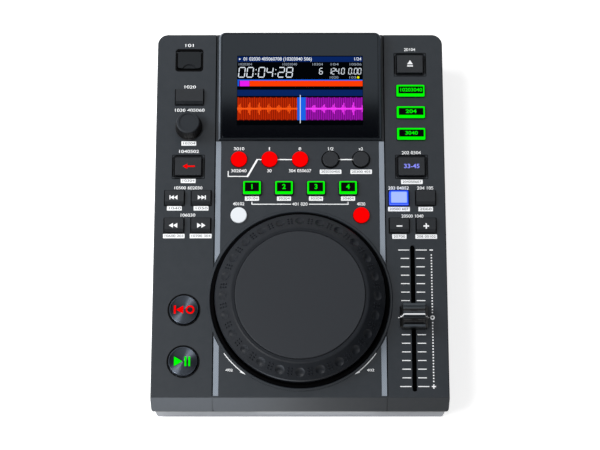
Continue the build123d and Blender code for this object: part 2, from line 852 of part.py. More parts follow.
def jog_bush():
    inner = shaft_radius + running_gap
    top = well_floor_top + bush_flange
    outline = [(inner, bush_bottom), (bush_radius, bush_bottom), (bush_radius, well_floor_top),
               (bush_flange_radius, well_floor_top), (bush_flange_radius, top), (inner, top)]
    return revolved(outline, 0, jog_y)


def jog_bracket():
    """Steel plate under the well that keeps the bush square, with three arms."""
    top = well_floor_top - well_floor
    outline = Circle(bracket_radius)
    for angle in bracket_angles:
        outline += Rot(0, 0, angle) * Pos(bracket_arm_reach / 2, 0) * SlotOverall(
            bracket_arm_reach + bracket_arm_width, bracket_arm_width)
        outline -= Rot(0, 0, angle) * Pos(bracket_arm_reach, 0) * Circle(board_screw_radius)
    outline -= Circle(bush_radius + running_gap)
    return at(0, jog_y, 0) * upright(outline, top - bracket_thickness, top)


def bracket_screw_places():
    return [(bracket_arm_reach * cos(radians(a)), jog_y + bracket_arm_reach * sin(radians(a)))
            for a in bracket_angles]


def jog_shaft():
    shaft = drum(0, jog_y, shaft_radius, shaft_bottom, shaft_top)
    return chamfer(shaft.edges().filter_by(GeomType.CIRCLE), 0.4)


def jog_rim():
    """The finger ring: a skirt, a sloping dimpled face, a crown, a web and a hub."""
    inner = jog_radius - jog_skirt
    web_top = plate_bottom
    web_under = web_top - web_thickness
    seat_radius = plate_radius + plate_gap
    bore = shaft_radius + 0.02
    crown_inner = jog_crown_radius - 1.0
    outline = [
        (bore, hub_bottom), (hub_radius, hub_bottom), (hub_radius, web_under),
        (seat_radius - 1, web_under), (inner - 1, jog_shoulder - 3.5), (inner, jog_shoulder - 5),
        (inner, jog_skirt_bottom), (jog_radius - 0.8, jog_skirt_bottom), (jog_radius, jog_shoulder - 1),
        (jog_radius - 0.6, jog_shoulder), (jog_crown_radius, jog_crown - 0.3), (crown_inner, jog_crown),
        (seat_radius, jog_crown), (seat_radius, web_top), (bore, web_top),
    ]
    rim = revolved(outline, 0, jog_y)
    slope = atan2(jog_crown - jog_shoulder, jog_radius - jog_crown_radius)
    middle = (jog_radius + jog_crown_radius) / 2
    lift = (jog_crown + jog_shoulder) / 2
    reach = dimple_radius - dimple_sink
    ball_radius = middle + reach * sin(slope)
    ball_height = lift + reach * cos(slope)
    ball = Rot(90, 0, 0) * Sphere(dimple_radius)
    rib_start = (bore + hub_radius) / 2
    rib = block(rib_start, plate_radius, -web_rib_thickness / 2, web_rib_thickness / 2,
                web_under - web_rib_depth, web_under)
    ribs = [at(0, jog_y, 0) * place * rib for place in ring_of(web_rib_count, 0)]
    balls = [at(0, jog_y, ball_height) * place * ball for place in ring_of(dimple_count, ball_radius)]
    return rim + ribs - balls


def jog_plate():
    """The flat touch plate, laid into the ring."""
    plate = drum(0, jog_y, plate_radius, plate_bottom, plate_bottom + plate_thickness)
    return fillet(slab_edges(plate, plate_bottom + plate_thickness), plate_edge_radius)


def encoder_disc():
    """The slotted disc that the light barrier reads."""
    bore = shaft_radius + 0.02
    disc = Circle(encoder_radius) - Circle(bore)
    slot_radius = encoder_radius - encoder_slot_margin - encoder_slot_length / 2
    disc -= ring_of(encoder_slot_count, slot_radius) * Rectangle(encoder_slot_length, encoder_slot_width)
    hub = Circle(encoder_hub_radius) - Circle(bore)
    body = upright(disc, encoder_height, encoder_height + encoder_thickness)
    body += upright(hub, encoder_height, encoder_height + encoder_hub_length)
    return at(0, jog_y, 0) * body


# ---------------------------------------------------------------- boards
def control_boards():
    """Three flat boards under the keys, hung from the housing's posts."""
    bottom = control_board_top - board_thickness
    boards = Part()
    for side in (1, -1):
        x0, x1 = sorted((side * side_board_inner, side * side_board_outer))
        boards += block(x0, x1, side_board_front, side_board_rear, bottom, control_board_top)
    boards += block(-centre_board_half, centre_board_half, shift_row - centre_board_reach,
                    loop_row + centre_board_reach, bottom, control_board_top)
    cuts = [drum(x, y, boss_radius + 1, bottom - 1, control_board_top + 1) for x, y in screw_places()]
    cuts += [drum(x, y, board_screw_radius, bottom - 1, control_board_top + 1) for x, y in board_posts()]
    return boards - cuts


def switch_bodies():
    """A tact switch under every key, and the power switch on the main board."""
    group = Part()
    for kind, x, y in KEYS.values():
        stop = control_board_top + switch_height
        group += at(x, y, (control_board_top + stop) / 2) * Box(switch_size, switch_size, switch_height)
        group += drum(x, y, switch_plunger_radius, stop, switch_top)
    inner = base_rear - base_wall - power_travel - clearance - power_plug
    z = main_board_top
    group += block(power_x - power_body / 2, power_x + power_body / 2, inner - power_body, inner,
                   z, z + power_body)
    return group


def light_barrier():
    """A fork-shaped sensor whose gap straddles the rim of the slotted disc."""
    width, depth = 6.0, 9.0
    x = encoder_radius - 2.0 + depth / 2
    fork = at(x - depth / 2, jog_y, 0) * upright(Pos(depth / 2, 0) * Rectangle(depth, width),
                                               main_board_top, encoder_height + 5)
    gap = block(x - depth, x + depth / 2 - 2.5, jog_y - width, jog_y + width,
                encoder_height - 1.2, encoder_height + encoder_thickness + 1.2)
    return fork - gap


def main_board():
    """The main circuit board with its chips, ribbon connector and light barrier soldered on."""
    bottom = main_board_top - board_thickness
    rear = base_rear - base_wall - main_board_rear_gap
    board = block(-main_board_half, main_board_half, main_board_front, rear, bottom, main_board_top)
    board += at(0, 60, main_board_top + 0.6) * Box(22, 22, 1.2)
    board += at(30, 56, main_board_top + 0.5) * Box(11, 18, 1.0)
    board += at(-34, 30, main_board_top + 0.6) * Box(14, 14, 1.2)
    board += at(0, 30, main_board_top + 2.5) * Box(30, 5, 5)
    for x in (-30, -20, 20, 30):
        board += drum(x, 96, 4.0, main_board_top, main_board_top + 9)
    return board + light_barrier()


# ---------------------------------------------------------------- keys
def key_solid(kind):
    """A key at the origin of X and Y: cap, hidden collar and stem."""
    rise, travel = KEY_FORM[kind]
    collar_top = panel_under - clearance
    collar_bottom = collar_top - key_flange_thickness
    top = panel_top + rise
    cap = upright(key_outline(kind), collar_top, top)
    if kind in ("small", "wide"):
        width, depth = (wide_width, wide_depth) if kind == "wide" else (small_width, small_depth)
        front = -depth / 2
        slope = side_prism([(front - 1, top + 1), (front - 1, top - slope_drop * (1 + 1 / slope_run)),
                            (front + slope_run * (1 + 1 / slope_drop), top + 1)], width)
        cap -= slope
    else:
        cap = fillet(slab_edges(cap, top), key_edge_radius)
    if kind == "transport":
        face = Circle(transport_radius - transport_rim)
        cap -= upright(face, top - 0.25, top + 1)
    collar = upright(key_outline(kind, key_flange), collar_bottom, collar_top)
    stem = drum(0, 0, stem_radius, switch_top + travel + press_gap, collar_bottom)
    return cap + collar + stem


# ---------------------------------------------------------------- select knob
def select_encoder():
    """Rotary encoder: a square case, a bushing and a cavity for the push contact."""
    z = control_board_top
    body_top = z + encoder_body_height
    body = at(-column_x, knob_row, (z + body_top) / 2) * Box(
        encoder_body_size, encoder_body_size, encoder_body_height)
    body += drum(-column_x, knob_row, encoder_bushing_radius, body_top, body_top + encoder_bushing_height)
    body -= drum(-column_x, knob_row, select_shaft_radius + running_gap, z + 1, panel_top)
    return body


def select_plunger():
    """The push contact under the shaft."""
    bottom = control_board_top + 1 + select_travel + clearance
    return drum(-column_x, knob_row, select_plunger_radius, bottom, bottom + select_plunger_thickness)


def select_shaft():
    """Shaft with a flat for the knob."""
    bottom = control_board_top + 1 + select_travel + clearance + select_plunger_thickness
    top = knob_bottom + knob_socket
    shaft = drum(-column_x, knob_row, select_shaft_radius, bottom, top)
    flat = at(-column_x, knob_row + select_shaft_radius, top - knob_socket / 2 + 0.5)
    return shaft - flat * Box(3 * select_shaft_radius, 2 * select_shaft_flat, knob_socket + 1)


def select_knob():
    """Tapered, fluted knob with a dished top."""
    outline = [(0, knob_bottom), (knob_radius, knob_bottom), (knob_radius, knob_bottom + 2.0),
               (knob_radius - 0.5, knob_bottom + 2.6), (knob_top_radius, knob_top), (0, knob_top)]
    knob = revolved(outline, -column_x, knob_row)
    knob = fillet(slab_edges(knob, knob_top), knob_edge_radius)
    knob -= drum(-column_x, knob_row, knob_top_radius - 2.0, knob_top - knob_dish, knob_top + 1)
    middle = at(-column_x, knob_row, 0)
    low, high = knob_bottom + 3.0, knob_top - 1.6
    lean = degrees(atan2(knob_radius - 0.5 - knob_top_radius, knob_top - knob_bottom - 2.6))
    flute_reach = (knob_radius - 0.5 + knob_top_radius) / 2 + 0.15
    flute = at(0, 0, (low + high) / 2) * Rot(0, -lean, 0) * Cylinder(knob_flute_radius, high - low)
    knob -= [middle * place * flute for place in ring_of(knob_flute_count, flute_reach)]
    socket = Circle(select_shaft_radius + 0.02)
    socket -= Pos(0, select_shaft_radius) * Rectangle(3 * select_shaft_radius, 2 * (select_shaft_flat - 0.02))
    knob -= middle * upright(socket, knob_bottom - 1, knob_bottom + knob_socket + 0.1)
    return knob


# ---------------------------------------------------------------- fader
def fader_body():
    """Slide potentiometer: a long metal case, slotted on top, with two guide rods."""
    half = fader_body_width / 2
    length = fader_body_length
    case = at(fader_x, fader_y, fader_body_bottom + fader_body_height / 2) * Box(
        fader_body_width, length, fader_body_height)
    hollow = at(fader_x, fader_y, fader_body_bottom + fader_body_height / 2) * Box(
        2 * (half - fader_body_wall), length - 2 * fader_end_wall, fader_body_height - 2 * fader_body_wall)
    slot = at(fader_x, fader_y, panel_under) * Box(fader_slot_width, fader_slot_length, 3 * fader_body_wall)
    body = case - hollow - slot
    for side in (1, -1):
        rod = at(fader_x + side * fader_rod_offset, fader_y, rod_height()) * Rot(90, 0, 0) * Cylinder(
            fader_rod_radius, length - fader_end_wall)
        body += rod
    return body


def rod_height():
    return fader_body_bottom + fader_body_height / 2 - 0.5


def fader_lever():
    """Carriage on the rods, with the blade that comes up through the slot."""
    carriage = at(fader_x, fader_y, rod_height()) * Box(
        fader_carriage_width, fader_carriage_depth, fader_carriage_height)
    for side in (1, -1):
        carriage -= at(fader_x + side * fader_rod_offset, fader_y, rod_height()) * Rot(90, 0, 0) * Cylinder(
            fader_rod_radius + 0.1, fader_carriage_depth + 2)
    blade = block(fader_x - fader_lever_width / 2, fader_x + fader_lever_width / 2,
                  fader_y - fader_lever_depth / 2, fader_y + fader_lever_depth / 2,
                  rod_height() + fader_carriage_height / 2 - 0.5, fader_cap_bottom + fader_cap_lip - 2.5)
    return carriage + blade


def fader_cap():
    """Cap with a centre ridge between two finger dishes, on a wider skirt."""
    half = fader_cap_depth / 2
    z = fader_cap_bottom
    with BuildPart() as cap:
        with BuildSketch(Plane.YZ):
            with BuildLine():
                Polyline((-half + 0.6, z + fader_cap_lip), (-half, z), (half, z),
                         (half - 0.6, z + fader_cap_lip), (half - 2.2, z + fader_cap_lip))
                ThreePointArc((half - 2.2, z + fader_cap_lip), (half / 2 - 0.2, z + fader_cap_dish),
                              (1.3, z + fader_cap_ridge))
                Line((1.3, z + fader_cap_ridge), (-1.3, z + fader_cap_ridge))
                ThreePointArc((-1.3, z + fader_cap_ridge), (-half / 2 + 0.2, z + fader_cap_dish),
                              (-half + 2.2, z + fader_cap_lip))
                Line((-half + 2.2, z + fader_cap_lip), (-half + 0.6, z + fader_cap_lip))
            make_face()
        extrude(amount=fader_cap_width / 2, both=True)
    taper = Plane.XZ * make_face(Polyline(
        (-fader_cap_width / 2, z), (fader_cap_width / 2, z), (fader_cap_top_width / 2, z + fader_cap_ridge),
        (-fader_cap_top_width / 2, z + fader_cap_ridge), close=True))
    solid = at(fader_x, fader_y, 0) * (cap.part & extrude(taper, amount=half + 1, both=True))
    skirt = at(fader_x, fader_y, z + fader_cap_skirt / 2) * Box(
        fader_cap_skirt_width, fader_cap_depth - 2.4, fader_cap_skirt)
    solid += chamfer(slab_edges(skirt, z + fader_cap_skirt), 1.2)
    inner = fader_cap_wall
    solid -= at(fader_x, fader_y, z + (fader_cap_dish - inner) / 2 - 0.5) * Box(
        fader_cap_top_width - 2 * inner, fader_cap_depth - 2 * inner - 1, fader_cap_dish - inner + 1)
    socket = at(fader_x, fader_y, z + (fader_cap_lip - 1.5) / 2) * Box(
        fader_lever_width + 3.0, fader_lever_depth + 3.0, fader_cap_lip - 1.5)
    blade = at(fader_x, fader_y, z + (fader_cap_lip - 2.5) / 2) * Box(
        fader_lever_width + 0.1, fader_lever_depth + 0.1, fader_cap_lip - 2.4)
    line = at(fader_x, fader_y, z + fader_cap_ridge) * Box(
        fader_cap_width, fader_line_width, 2 * fader_line_depth)
    return solid + socket - blade - line


# ---------------------------------------------------------------- USB port
def port_outline(grow=0.0):
    width = port_frame_width + 2 * grow
    return RectangleRounded(width, port_frame_depth + 2 * grow, port_frame_corner + grow)


def usb_frame():
    """Moulded well in the panel that holds the flap, with a mouth for the stick."""
    bottom = port_floor_top - port_floor
    frame = upright(port_outline(), bottom, panel_top)
    frame += upright(port_outline(port_flange), panel_under - port_flange, panel_under)
    inner = RectangleRounded(port_frame_width - 2 * port_frame_wall, port_frame_depth - 2 * port_frame_wall,
                             port_frame_corner - port_frame_wall)
    rest_top = flap_top - flap_thickness - flap_rest_gap
    between = Rectangle(port_frame_width - 2 * (port_frame_wall + flap_rest_width),
                        port_frame_depth - 2 * port_frame_wall)
    frame -= upright(inner, rest_top, panel_top + 1)
    frame -= upright(between, port_floor_top, rest_top + 1)
    frame -= upright(Rectangle(port_mouth_width, port_mouth_depth), bottom - 1, port_floor_top + 1)
    pin_hole = at(0, flap_pivot_y - port_y, flap_pivot_z) * Rot(0, 90, 0) * Cylinder(
        flap_pin_radius + flap_pin_gap, flap_pin_span + 2 * flap_pin_gap)
    return at(port_x, port_y, 0) * (frame - pin_hole)


def usb_flap():
    """Flap with moulded pins at its rear edge and a finger notch at its front edge."""
    rear = flap_pivot_y + flap_thickness / 2
    front = rear - flap_depth
    middle = (rear + front) / 2
    flap = at(port_x, middle, flap_top - flap_thickness) * extrude(
        RectangleRounded(flap_width, flap_depth, flap_corner), flap_thickness)
    barrel = at(port_x, flap_pivot_y, flap_pivot_z) * Rot(0, 90, 0) * Cylinder(
        flap_thickness / 2, flap_width - 2 * flap_corner)
    square_edge = block(port_x - flap_width, port_x + flap_width, flap_pivot_y, rear + 1,
                        flap_top - flap_thickness - 1, flap_top + 1)
    flap = flap - square_edge + barrel
    notch_reach = (flap_notch_radius**2 - (flap_notch_width / 2) ** 2) ** 0.5
    flap -= drum(port_x, front - notch_reach, flap_notch_radius, flap_top - flap_thickness / 2, flap_top + 1)
    flap += at(port_x, flap_pivot_y, flap_pivot_z) * Rot(0, 90, 0) * Cylinder(flap_pin_radius, flap_pin_span)
    return flap


def usb_socket():
    """Upright socket on the left board, under the mouth of the port."""
    bottom = control_board_top
    top = port_floor_top - port_floor + usb_lip
    shell = Rectangle(usb_shell_width, usb_shell_depth)
    bore = Rectangle(usb_shell_width - 2 * usb_shell_wall, usb_shell_depth - 2 * usb_shell_wall)
    socket = upright(shell, bottom, top)
    socket -= upright(bore, bottom + 2, top + 1)
    tongue_y = usb_shell_depth / 2 - usb_shell_wall - usb_tongue_depth / 2
    socket += upright(Pos(0, tongue_y - 0.3) * Rectangle(usb_tongue_width, usb_tongue_depth),
                      bottom + 1.5, top - 1.0)
    return at(port_x, port_y, 0) * socket


# ---------------------------------------------------------------- rear sockets
def rca_places():
    return (rca_x - rca_pitch / 2, rca_x + rca_pitch / 2)


def along_y(x, z, radius, y0, y1):
    """A cylinder along Y."""
    return at(x, (y0 + y1) / 2, z) * Rot(90, 0, 0) * Cylinder(radius, y1 - y0)


def rca_jacks():
    """Twin phono jack: one plastic block with two metal barrels through the rear wall."""
    z = main_board_top + rca_axis_rise
    inner = base_rear - base_wall
    jack = block(rca_x - rca_body_width / 2, rca_x + rca_body_width / 2, inner - rca_body_depth, inner,
                 main_board_top, main_board_top + rca_body_height)
    for x in rca_places():
        jack += along_y(x, z, rca_collar_radius, inner - 1, base_rear + rca_collar_rise)
        jack += along_y(x, z, rca_barrel_radius, inner - 1, base_rear + rca_barrel_length)
    for x in rca_places():
        end = base_rear + rca_barrel_length
        jack -= along_y(x, z, rca_pin_hole_radius, end - rca_pin_hole_depth, end + 1)
    return jack


def usb_b_socket():
    """Square computer socket with its centre tongue."""
    rear = base_rear
    z = main_board_top
    shell = block(usb_b_x - usb_b_width / 2, usb_b_x + usb_b_width / 2, rear - usb_b_depth, rear,
                  z, z + usb_b_height)
    middle = z + usb_b_height / 2
    mouth = at(usb_b_x, rear - usb_b_mouth_depth / 2 + 0.5, middle) * Box(
        usb_b_mouth_width, usb_b_mouth_depth + 1, usb_b_mouth_height)
    tongue = at(usb_b_x, rear - usb_b_mouth_depth / 2 - 0.5, middle) * Box(
        usb_b_tongue_width, usb_b_mouth_depth + 1, usb_b_tongue_height)
    return shell - mouth + tongue


def dc_jack():
    """Barrel power inlet with its centre pin."""
    rear = base_rear
    z = main_board_top
    body = block(dc_x - dc_width / 2, dc_x + dc_width / 2, rear - dc_depth, rear, z, z + dc_height)
    axis = z + dc_axis_rise
    body -= along_y(dc_x, axis, dc_hole_radius, rear - dc_hole_depth, rear + 1)
    return body + along_y(dc_x, axis, dc_pin_radius, rear - dc_hole_depth - 1, rear - 1)


def power_button():
    """Push button of the power switch, standing out of the rear wall."""
    z = main_board_top + power_axis_rise
    inner = base_rear - base_wall - power_travel - clearance
    cap = block(power_x - power_width / 2, power_x + power_width / 2, inner, base_rear + power_reach,
                z - power_height / 2, z + power_height / 2)
    cap = fillet(cap.faces().sort_by(Axis.Y)[-1].edges(), 0.6)
    plug = at(power_x, inner - power_plug / 2 + power_travel + 0.1, z) * Box(3, power_plug, 3)
    return cap + plug


# ---------------------------------------------------------------- write the sub-parts
SUB_PARTS = {
    "top_housing": top_housing,
    "base_housing": base_housing,
    "usb_frame": usb_frame,
    "screen_bezel": screen_bezel,
    "screen_lens": screen_lens,
    "lcd_module": lcd_module,
    "trim_strips": trim_strips,
    "jog_well": jog_well,
    "jog_bush": jog_bush,
    "jog_bracket": jog_bracket,
    "main_board": main_board,
    "control_boards": control_boards,
    "switch_bodies": switch_bodies,
    "fader_body": fader_body,
    "usb_socket": usb_socket,
    "rca_jacks": rca_jacks,
    "usb_b_socket": usb_b_socket,
    "dc_jack": dc_jack,
    "select_encoder": select_encoder,
    "rubber_feet": rubber_feet,
    "case_screws": screws,
    "jog_rim": jog_rim,
    "jog_plate": jog_plate,
    "jog_shaft": jog_shaft,
    "encoder_disc": encoder_disc,
    "fader_cap": fader_cap,
    "fader_lever": fader_lever,
    "select_knob": select_knob,
    "select_shaft": select_shaft,
    "select_plunger": select_plunger,
    "usb_flap": usb_flap,
    "power_button": power_button,
}

for node, build in SUB_PARTS.items():
    save(node, build())

for node, (kind, x, y) in KEYS.items():
    save(node, at(x, y, 0) * key_solid(kind))
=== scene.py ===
"""Finishes, printed signs, lit keys and a plain studio for a tabletop media player."""

import json
from math import atan2, cos, pi, radians, sin

import bmesh
import bpy
from mathutils import Matrix, Vector


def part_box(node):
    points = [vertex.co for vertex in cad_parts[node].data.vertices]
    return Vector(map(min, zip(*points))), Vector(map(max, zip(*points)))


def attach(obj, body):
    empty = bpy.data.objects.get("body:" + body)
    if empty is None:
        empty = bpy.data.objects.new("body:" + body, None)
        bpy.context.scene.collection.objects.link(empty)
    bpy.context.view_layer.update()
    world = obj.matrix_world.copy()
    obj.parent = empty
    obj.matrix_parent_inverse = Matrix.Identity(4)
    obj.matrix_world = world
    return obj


bl_info = {
    "name": "Tabletop media player",
    "version": (1, 0, 0),
    "blender": (4, 5, 0),
    "location": "View3D > Sidebar > Player",
    "description": "Dresses and lights the packed frame of a tabletop media player",
    "category": "Object",
}

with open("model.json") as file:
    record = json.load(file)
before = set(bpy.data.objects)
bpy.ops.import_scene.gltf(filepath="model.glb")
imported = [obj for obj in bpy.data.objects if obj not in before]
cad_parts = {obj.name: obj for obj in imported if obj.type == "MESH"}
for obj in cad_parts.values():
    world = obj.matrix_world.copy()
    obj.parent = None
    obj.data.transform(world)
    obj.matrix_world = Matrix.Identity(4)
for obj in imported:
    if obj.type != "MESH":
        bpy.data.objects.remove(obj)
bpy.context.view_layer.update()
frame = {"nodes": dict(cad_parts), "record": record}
NODES = frame["nodes"]
MM = 0.001
SLOTS = {entry["node"]: entry["material_slot"] for entry in frame["record"]["subparts"]}

# Sizes in millimetres that the frame's boxes don't show by themselves.
KEY_COLLAR = 1.2  # rim round a key's foot, hidden under the panel
KEY_GAP = 0.35  # from a key to the edge of its opening
LIP_RISE = 0.9  # the lip round the jog wheel, over the panel
LIP_EDGE = 68.7  # the lip's outer radius


# ---------------------------------------------------------------- places in the frame
def middle(*nodes):
    """Centre of one node, or of several together, in X and Y, in millimetres."""
    lows, highs = zip(*(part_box(node) for node in nodes))
    return [500 * (min(low[i] for low in lows) + max(high[i] for high in highs)) for i in (0, 1)]


def cap(key):
    """Centre, width and depth of a key's cap, without its hidden collar."""
    low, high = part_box(key)
    width, depth = [(high[i] - low[i]) / MM - 2 * KEY_COLLAR for i in (0, 1)]
    return *middle(key), width, depth


def top_of(node):
    """Height of a node's top, in millimetres."""
    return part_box(node)[1][2] / MM


PANEL = top_of("top_housing") - LIP_RISE
JOG_X, JOG_Y = middle("jog_plate")
PADS = [f"hot_cue_{i}_button" for i in (1, 2, 3, 4)]
MODE_KEYS = ["settings_button", "source_button", "control_mode_button"]
FRAMED_KEYS = ["direction_button", "eject_button", "jog_mode_button"]
COLUMN_KEYS = ["back_button", "track_back_button", "track_next_button", "search_back_button",
               "search_forward_button", "key_lock_button", "tempo_tap_button", "bend_down_button",
               "bend_up_button"]
TRANSPORT_KEYS = ["cue_button", "play_button"]


def screen_place():
    """The middle of the display on the lens's face, X across and Y up the slope."""
    faces = [f for f in NODES["screen_lens"].data.polygons if f.normal.z > 0.9]
    face = max(faces, key=lambda f: f.area)
    x, y = [MM * v for v in middle("lcd_module")]
    lean = face.normal.y * (y - face.center.y) / face.normal.z
    tilt = atan2(-face.normal.y, face.normal.z)
    return Matrix.Translation((x, y, face.center.z - lean)) @ Matrix.Rotation(tilt, 4, "X")


# ---------------------------------------------------------------- node trees
def linear(shade):
    """An sRGB hex shade as the linear colour that a socket takes."""
    parts = [int(shade[i : i + 2], 16) / 255 for i in (1, 3, 5)]
    return [c / 12.92 if c <= 0.04045 else ((c + 0.055) / 1.055) ** 2.4 for c in parts] + [1.0]


def add(tree, kind, settings=None, links=None):
    """Adds one node, sets its sockets or properties and links its inputs."""
    made = tree.nodes.new(kind)
    for name, value in (settings or {}).items():
        if isinstance(name, int) or name in made.inputs:
            made.inputs[name].default_value = value
        else:
            setattr(made, name, value)
    for name, source in (links or {}).items():
        tree.links.new(source, made.inputs[name])
    return made


def coat(name, shade, roughness, **sockets):
    """A material with its plain colour and gloss, and the tree and shader to build on."""
    material = bpy.data.materials.get(name)
    if material:
        bpy.data.materials.remove(material)
    material = bpy.data.materials.new(name)
    material.use_nodes = True
    tree = material.node_tree
    shader = tree.nodes["Principled BSDF"]
    shader.inputs["Base Color"].default_value = linear(shade)
    shader.inputs["Roughness"].default_value = roughness
    for socket, value in sockets.items():
        shader.inputs[socket.replace("_", " ")].default_value = value
    return material, tree, shader


def axes_of(tree, output="Object"):
    """X, Y and Z of a point's place in the frame, or of the way that its face looks."""
    place = add(tree, "ShaderNodeTexCoord").outputs[output]
    return add(tree, "ShaderNodeSeparateXYZ", links={"Vector": place}).outputs


def ramp(tree, level, stops):
    """Colours for a level from 0 to 1, from (level, shade) pairs."""
    made = add(tree, "ShaderNodeValToRGB", links={"Fac": level})
    for _ in stops[2:]:
        made.color_ramp.elements.new(0.5)
    for stop, (at, shade) in zip(made.color_ramp.elements, stops):
        stop.position, stop.color = at, linear(shade)
    return made.outputs["Color"]


def along(tree, axis, stops):
    """Colours that change along X, Y or Z, from (place in millimetres, shade) pairs."""
    low, high = stops[0][0], stops[-1][0]
    level = add(tree, "ShaderNodeMapRange", {"From Min": low * MM, "From Max": high * MM},
                {"Value": axes_of(tree)[axis]})
    stops = [((at - low) / (high - low), shade) for at, shade in stops]
    return ramp(tree, level.outputs["Result"], stops)


def bumped(tree, shader, height, depth):
    """Shows a pattern as relief of a depth in millimetres."""
    made = add(tree, "ShaderNodeBump", {"Distance": depth * MM}, {"Height": height})
    tree.links.new(made.outputs["Normal"], shader.inputs["Normal"])


def shaded(tree, shader, colour, shade):
    """Gives the shader a colour darkened by another."""
    both = add(tree, "ShaderNodeVectorMath", {"operation": "MULTIPLY"}, {0: colour, 1: shade})
    tree.links.new(both.outputs["Vector"], shader.inputs["Base Color"])


def grain(tree, shader, pitch, depth, shades=None):
    """Random bumps of a pitch and depth in millimetres, and over 6 mm a change of two shades."""
    place = add(tree, "ShaderNodeTexCoord").outputs["Object"]

    def noise(size, detail):
        return add(tree, "ShaderNodeTexNoise", {"Scale": 1 / (size * MM), "Detail": detail},
                   {"Vector": place}).outputs["Fac"]

    bumped(tree, shader, noise(pitch, 2.0), depth)
    if shades:
        colour = ramp(tree, noise(6.0, 4.0), list(zip((0.35, 0.65), shades)))
        tree.links.new(colour, shader.inputs["Base Color"])


def turned(tree, shader, x, y, pitch, depth):
    """Fine rings round an upright axis, as a lathe tool leaves them."""
    place = add(tree, "ShaderNodeTexCoord").outputs["Object"]
    centred = add(tree, "ShaderNodeMapping", {"Location": (-x * MM, -y * MM, 0)}, {"Vector": place})
    rings = add(tree, "ShaderNodeTexWave", {"wave_type": "RINGS", "rings_direction": "Z",
                                            "Scale": 0.314 / (pitch * MM)},
                {"Vector": centred.outputs["Vector"]})
    bumped(tree, shader, rings.outputs["Fac"], depth)


def seen_rays(tree):
    """One for rays from the camera, straight, mirrored or through clear matter, else nought."""
    path = add(tree, "ShaderNodeLightPath")
    seen = path.outputs["Is Camera Ray"]
    for ray in ("Is Glossy Ray", "Is Transmission Ray"):
        either = add(tree, "ShaderNodeMath", {"operation": "MAXIMUM"}, {0: seen, 1: path.outputs[ray]})
        seen = either.outputs[0]
    return seen


# ---------------------------------------------------------------- finishes
def charcoal_abs():
    # Moulded ABS off a spark-eroded tool: satin, dark grey, with a fine grain. The grain of the
    # tool is about 0.15 mm, drawn at 0.5 mm so that it shows.
    material, tree, shader = coat("satin_charcoal_abs", "#22272d", 0.5)
    grain(tree, shader, 0.5, 0.012, ("#20262c", "#24292f"))
    return material


def silver_lacquer():
    # Metallic grey lacquer on the tray: satin, with flakes too fine to see. Its top 5 mm, under the
    # case's rim, is painted black as painted shade in the gap between the tray and the case.
    material, tree, shader = coat("silver_lacquer", "#6f757f", 0.42, Metallic=0.35)
    grain(tree, shader, 0.4, 0.006, ("#6d737d", "#737983"))
    edge = top_of("base_housing")
    painted_rim_shade = along(tree, "Z", ((0, "#ffffff"), (edge - 5.1, "#ffffff"), (edge - 5.0, "#040405")))
    shaded(tree, shader, shader.inputs["Base Color"].links[0].from_socket, painted_rim_shade)
    return material


def dotted_foil():
    # Grey foil with a pressed dot pattern; the dots are about 0.6 mm apart.
    material, tree, shader = coat("dotted_foil", "#858e9a", 0.45, Specular_IOR_Level=0.3)
    axes, turn, waves = axes_of(tree), pi / (0.6 * MM), []
    for axis in "XY":
        angle = add(tree, "ShaderNodeMath", {"operation": "MULTIPLY", 1: turn}, {0: axes[axis]})
        wave = add(tree, "ShaderNodeMath", {"operation": "SINE"}, {0: angle.outputs[0]})
        waves.append(wave.outputs[0])
    dots = add(tree, "ShaderNodeMath", {"operation": "MULTIPLY"}, {0: waves[0], 1: waves[1]}).outputs[0]
    tree.links.new(ramp(tree, dots, ((0.2, "#929ba6"), (0.5, "#6b737e"))), shader.inputs["Base Color"])
    bumped(tree, shader, dots, 0.03)
    return material


def piano_black():
    # Glossy black ABS off a polished tool. Its side faces are painted paler as a painted highlight,
    # paler on the left-facing side than on the right.
    material, tree, shader = coat("piano_black_abs", "#0a0c10", 0.12, Specular_IOR_Level=0.46,
                                  Specular_Tint=(0.76, 0.88, 1.0, 1.0))
    grain(tree, shader, 9.0, 0.004)
    level = add(tree, "ShaderNodeMapRange", {"From Min": -1.0, "From Max": 1.0},
                {"Value": axes_of(tree, "Normal")["X"]})
    painted_side_highlight = ramp(tree, level.outputs["Result"],
                  ((0.34, "#626870"), (0.44, "#0a0c10"), (0.58, "#0a0c10"), (0.68, "#3c4249")))
    tree.links.new(painted_side_highlight, shader.inputs["Base Color"])
    return material


def hard_acrylic():
    # Smoked acrylic window with a hard coat. The lit display lies on it as its own pieces.
    material, tree, shader = coat("smoked_acrylic", "#05060a", 0.09, IOR=1.49, Specular_IOR_Level=0.58,
                                  Specular_Tint=(0.76, 0.88, 1.0, 1.0))
    grain(tree, shader, 14.0, 0.002)
    return material


def graphite_abs():
    # The ring's ABS: the same grain as the case but darker and a little shinier.
    material, tree, shader = coat("satin_graphite_abs", "#11151b", 0.46, Specular_IOR_Level=0.3)
    grain(tree, shader, 0.5, 0.010, ("#10141a", "#14181e"))
    return material


def touch_plate():
    # Aluminium plate, turned, then anodised dark grey: matt, with rings about 0.35 mm apart.
    material, tree, shader = coat("anodised_turned_plate", "#1c2026", 0.5)
    turned(tree, shader, JOG_X, JOG_Y, 0.7, 0.004)
    return material


def spun_metal(name, node):
    # Spun aluminium cap, dark anodised: rings 0.3 mm apart draw the light out into a fan.
    material, tree, shader = coat(name, "#5c636d", 0.28, Metallic=1.0, Anisotropic=0.9,
                                  Anisotropic_Rotation=0.25)
    x, y = middle(node)
    turned(tree, shader, x, y, 0.6, 0.006)
    way = add(tree, "ShaderNodeTangent", {"direction_type": "RADIAL", "axis": "Z"})
    tree.links.new(way.outputs["Tangent"], shader.inputs["Tangent"])
    return material


